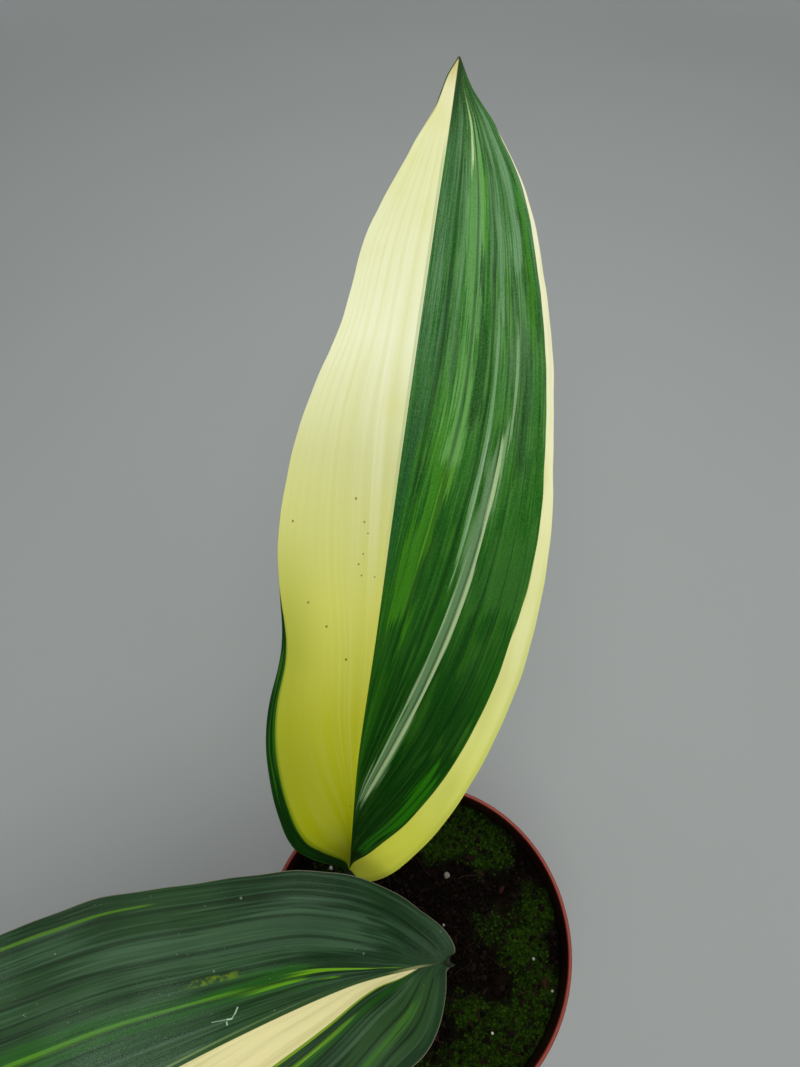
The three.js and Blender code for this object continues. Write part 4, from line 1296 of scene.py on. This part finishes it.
def dress_soil(soil):
    """Granules, bark, perlite, root fibres and moss on the soil."""
    rule = scatter_rule()
    per_area = 1 / MM ** 2
    # Crumbs and bark: their own dark colour, darkened further as painted shade under the leaves
    crumb = tone_finish("soil_crumb", (5, 4, 3), (28, 20, 14), 0.9, 0.3)
    bark = tone_finish("bark_chip", (9, 6, 4), (34, 20, 13), 0.9, 0.4)
    perlite = tone_finish("perlite", (118, 114, 102), (190, 187, 176), 0.85, 0.3)
    fibre = tone_finish("root_fibre", (18, 12, 8), (66, 46, 32), 0.8, 0.1)
    moss = tone_finish("moss", (24, 46, 6), (62, 92, 17), 0.85, 0.1)
    # Name, shape, where, how many to a square millimetre, smallest and largest size, tilt and finish
    plan = [
        ("soil_crumbs", lump_template("crumb", 1), "open_ground", 0.17, 0.5, 2.4, 3.1, crumb),
        ("bark_chips", lump_template("chip", 5, 0.4, 1, 2.4), "open_ground", 0.009, 0.7, 2, 0.5, bark),
        ("root_fibres", fibre_template(), "open_ground", 0.009, 5, 17, 0.25, fibre),
        ("moss_tufts", tuft_template(), "moss_ground", 1.15, 0.7, 2.3, 0.7, moss),
    ]
    chip = tone_finish("large_chip", (22, 13, 9), (54, 29, 19), 0.9, 0.5)
    made = [
        laid("perlite_grains", lump_template("grain", 9), PERLITE, perlite),
        laid("large_chips", lump_template("large_chip", 3, 0.5, 1, 2.1), CHIPS, chip),
    ]
    for seed, (name, shape, mask, density, smallest, largest, tilt, finish) in enumerate(plan):
        made.append(scattered(name, soil, rule, {
            "Shape": shape, "Mask": mask, "Density": density * per_area, "Smallest": smallest * MM,
            "Largest": largest * MM, "Tilt": tilt, "Seed": seed * 10 + SOIL_SEED, "Finish": finish,
        }))
        bpy.data.objects.remove(shape)
    return made


# ---------------------------------------------------------------- the object


def add(piece, slot, *nodes):
    """Puts a piece on the one body and hides the solids that it stands for. slot is not used."""
    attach(piece, "root")
    if nodes:
        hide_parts(*nodes)


add(build_pot(pot_finish()), "pot_plastic", "pot")
SOIL = build_soil(soil_finish())
for dressing in dress_soil(SOIL):
    add(dressing, "soil")
add(SOIL, "soil", "soil")
add(build_rhizome(rhizome_finish()), "rhizome", "rhizome")
STALK_FINISH = stalk_finish()
SHEATH_FINISH = sheath_finish()
for leaf, skin, slot in (
    (UPRIGHT, upright_finish(), "blade_cream_green"),
    (LEANING, leaning_finish(), "blade_dark_green"),
):
    add(build_stalk(leaf, STALK_FINISH), "stalk", f"petiole_{leaf['name']}")
    for layer in ("inner", "outer"):
        add(build_sheath(leaf, layer, SHEATH_FINISH), "sheath", f"sheath_{layer}_{leaf['name']}")
    add(build_blade(leaf, skin), slot, f"blade_{leaf['name']}")


# ---------------------------------------------------------------- floor, light and camera

CAMERA = {"place": (-7, -6, 491.8), "pitch": 62, "focal_px": 800, "photo_height": 1067, "sensor": 36}
FLOOR_SIZE = 24
AIM = Vector((-0.02, 0.08, 0.2))
# Name, place, diameter, power and spread in degrees
LIGHTS = [
    ("main_light", (0.4, 0.2, 0.95), 0.8, 2.65, 180),
    ("window_light", (0.1, 1.9, 1.45), 1.3, 1.8, 50),
    ("front_light", (-0.05, -0.45, 1.9), 1.2, 2.5, 70),
]
SKY = {"Color": (0.93, 0.96, 1.0, 1), "Strength": 0.3}


def build_floor():
    """A plain pale floor, lighter far away."""
    f = Finish("floor_paint")
    tone = f.mix(f.noise(3, 3), (150, 154, 151), (158, 162, 159))
    tone = f.mix(f.step(f.radius(), 0.85, 1.6), tone, (244, 247, 250))
    paint = f.surface(tone, 0.85, f.bump(f.noise(90, 4), 0.08, 1.0))
    half = FLOOR_SIZE / 2 / MM
    corners = [(-half, -half, 0), (half, -half, 0), (half, half, 0), (-half, half, 0)]
    mesh_object("studio_floor", corners, [(0, 1, 2, 3)], paint)


def build_light():
    for name, place, size, power, spread in LIGHTS:
        light = bpy.data.lights.new(name, "AREA")
        light.shape = "DISK"
        light.size = size
        light.energy = power
        light.spread = math.radians(spread)
        lamp = link(name, light)
        lamp.location = place
        lamp.rotation_euler = (AIM - Vector(place)).to_track_quat("-Z", "Y").to_euler()
    world = bpy.data.worlds.new("studio")
    world.use_nodes = True
    for name, value in SKY.items():
        world.node_tree.nodes["Background"].inputs[name].default_value = value
    bpy.context.scene.world = world


def build_camera():
    data = bpy.data.cameras.new("camera")
    data.sensor_fit = "VERTICAL"
    data.sensor_height = CAMERA["sensor"]
    data.lens = CAMERA["focal_px"] / CAMERA["photo_height"] * CAMERA["sensor"]
    data.clip_start = 0.01
    camera = link("camera", data)
    camera.location = Vector(CAMERA["place"]) * MM
    camera.rotation_euler = (math.radians(90 - CAMERA["pitch"]), 0, 0)
    bpy.context.scene.camera = camera


build_floor()
build_light()
build_camera()
bpy.context.scene.view_settings.view_transform = "Standard"
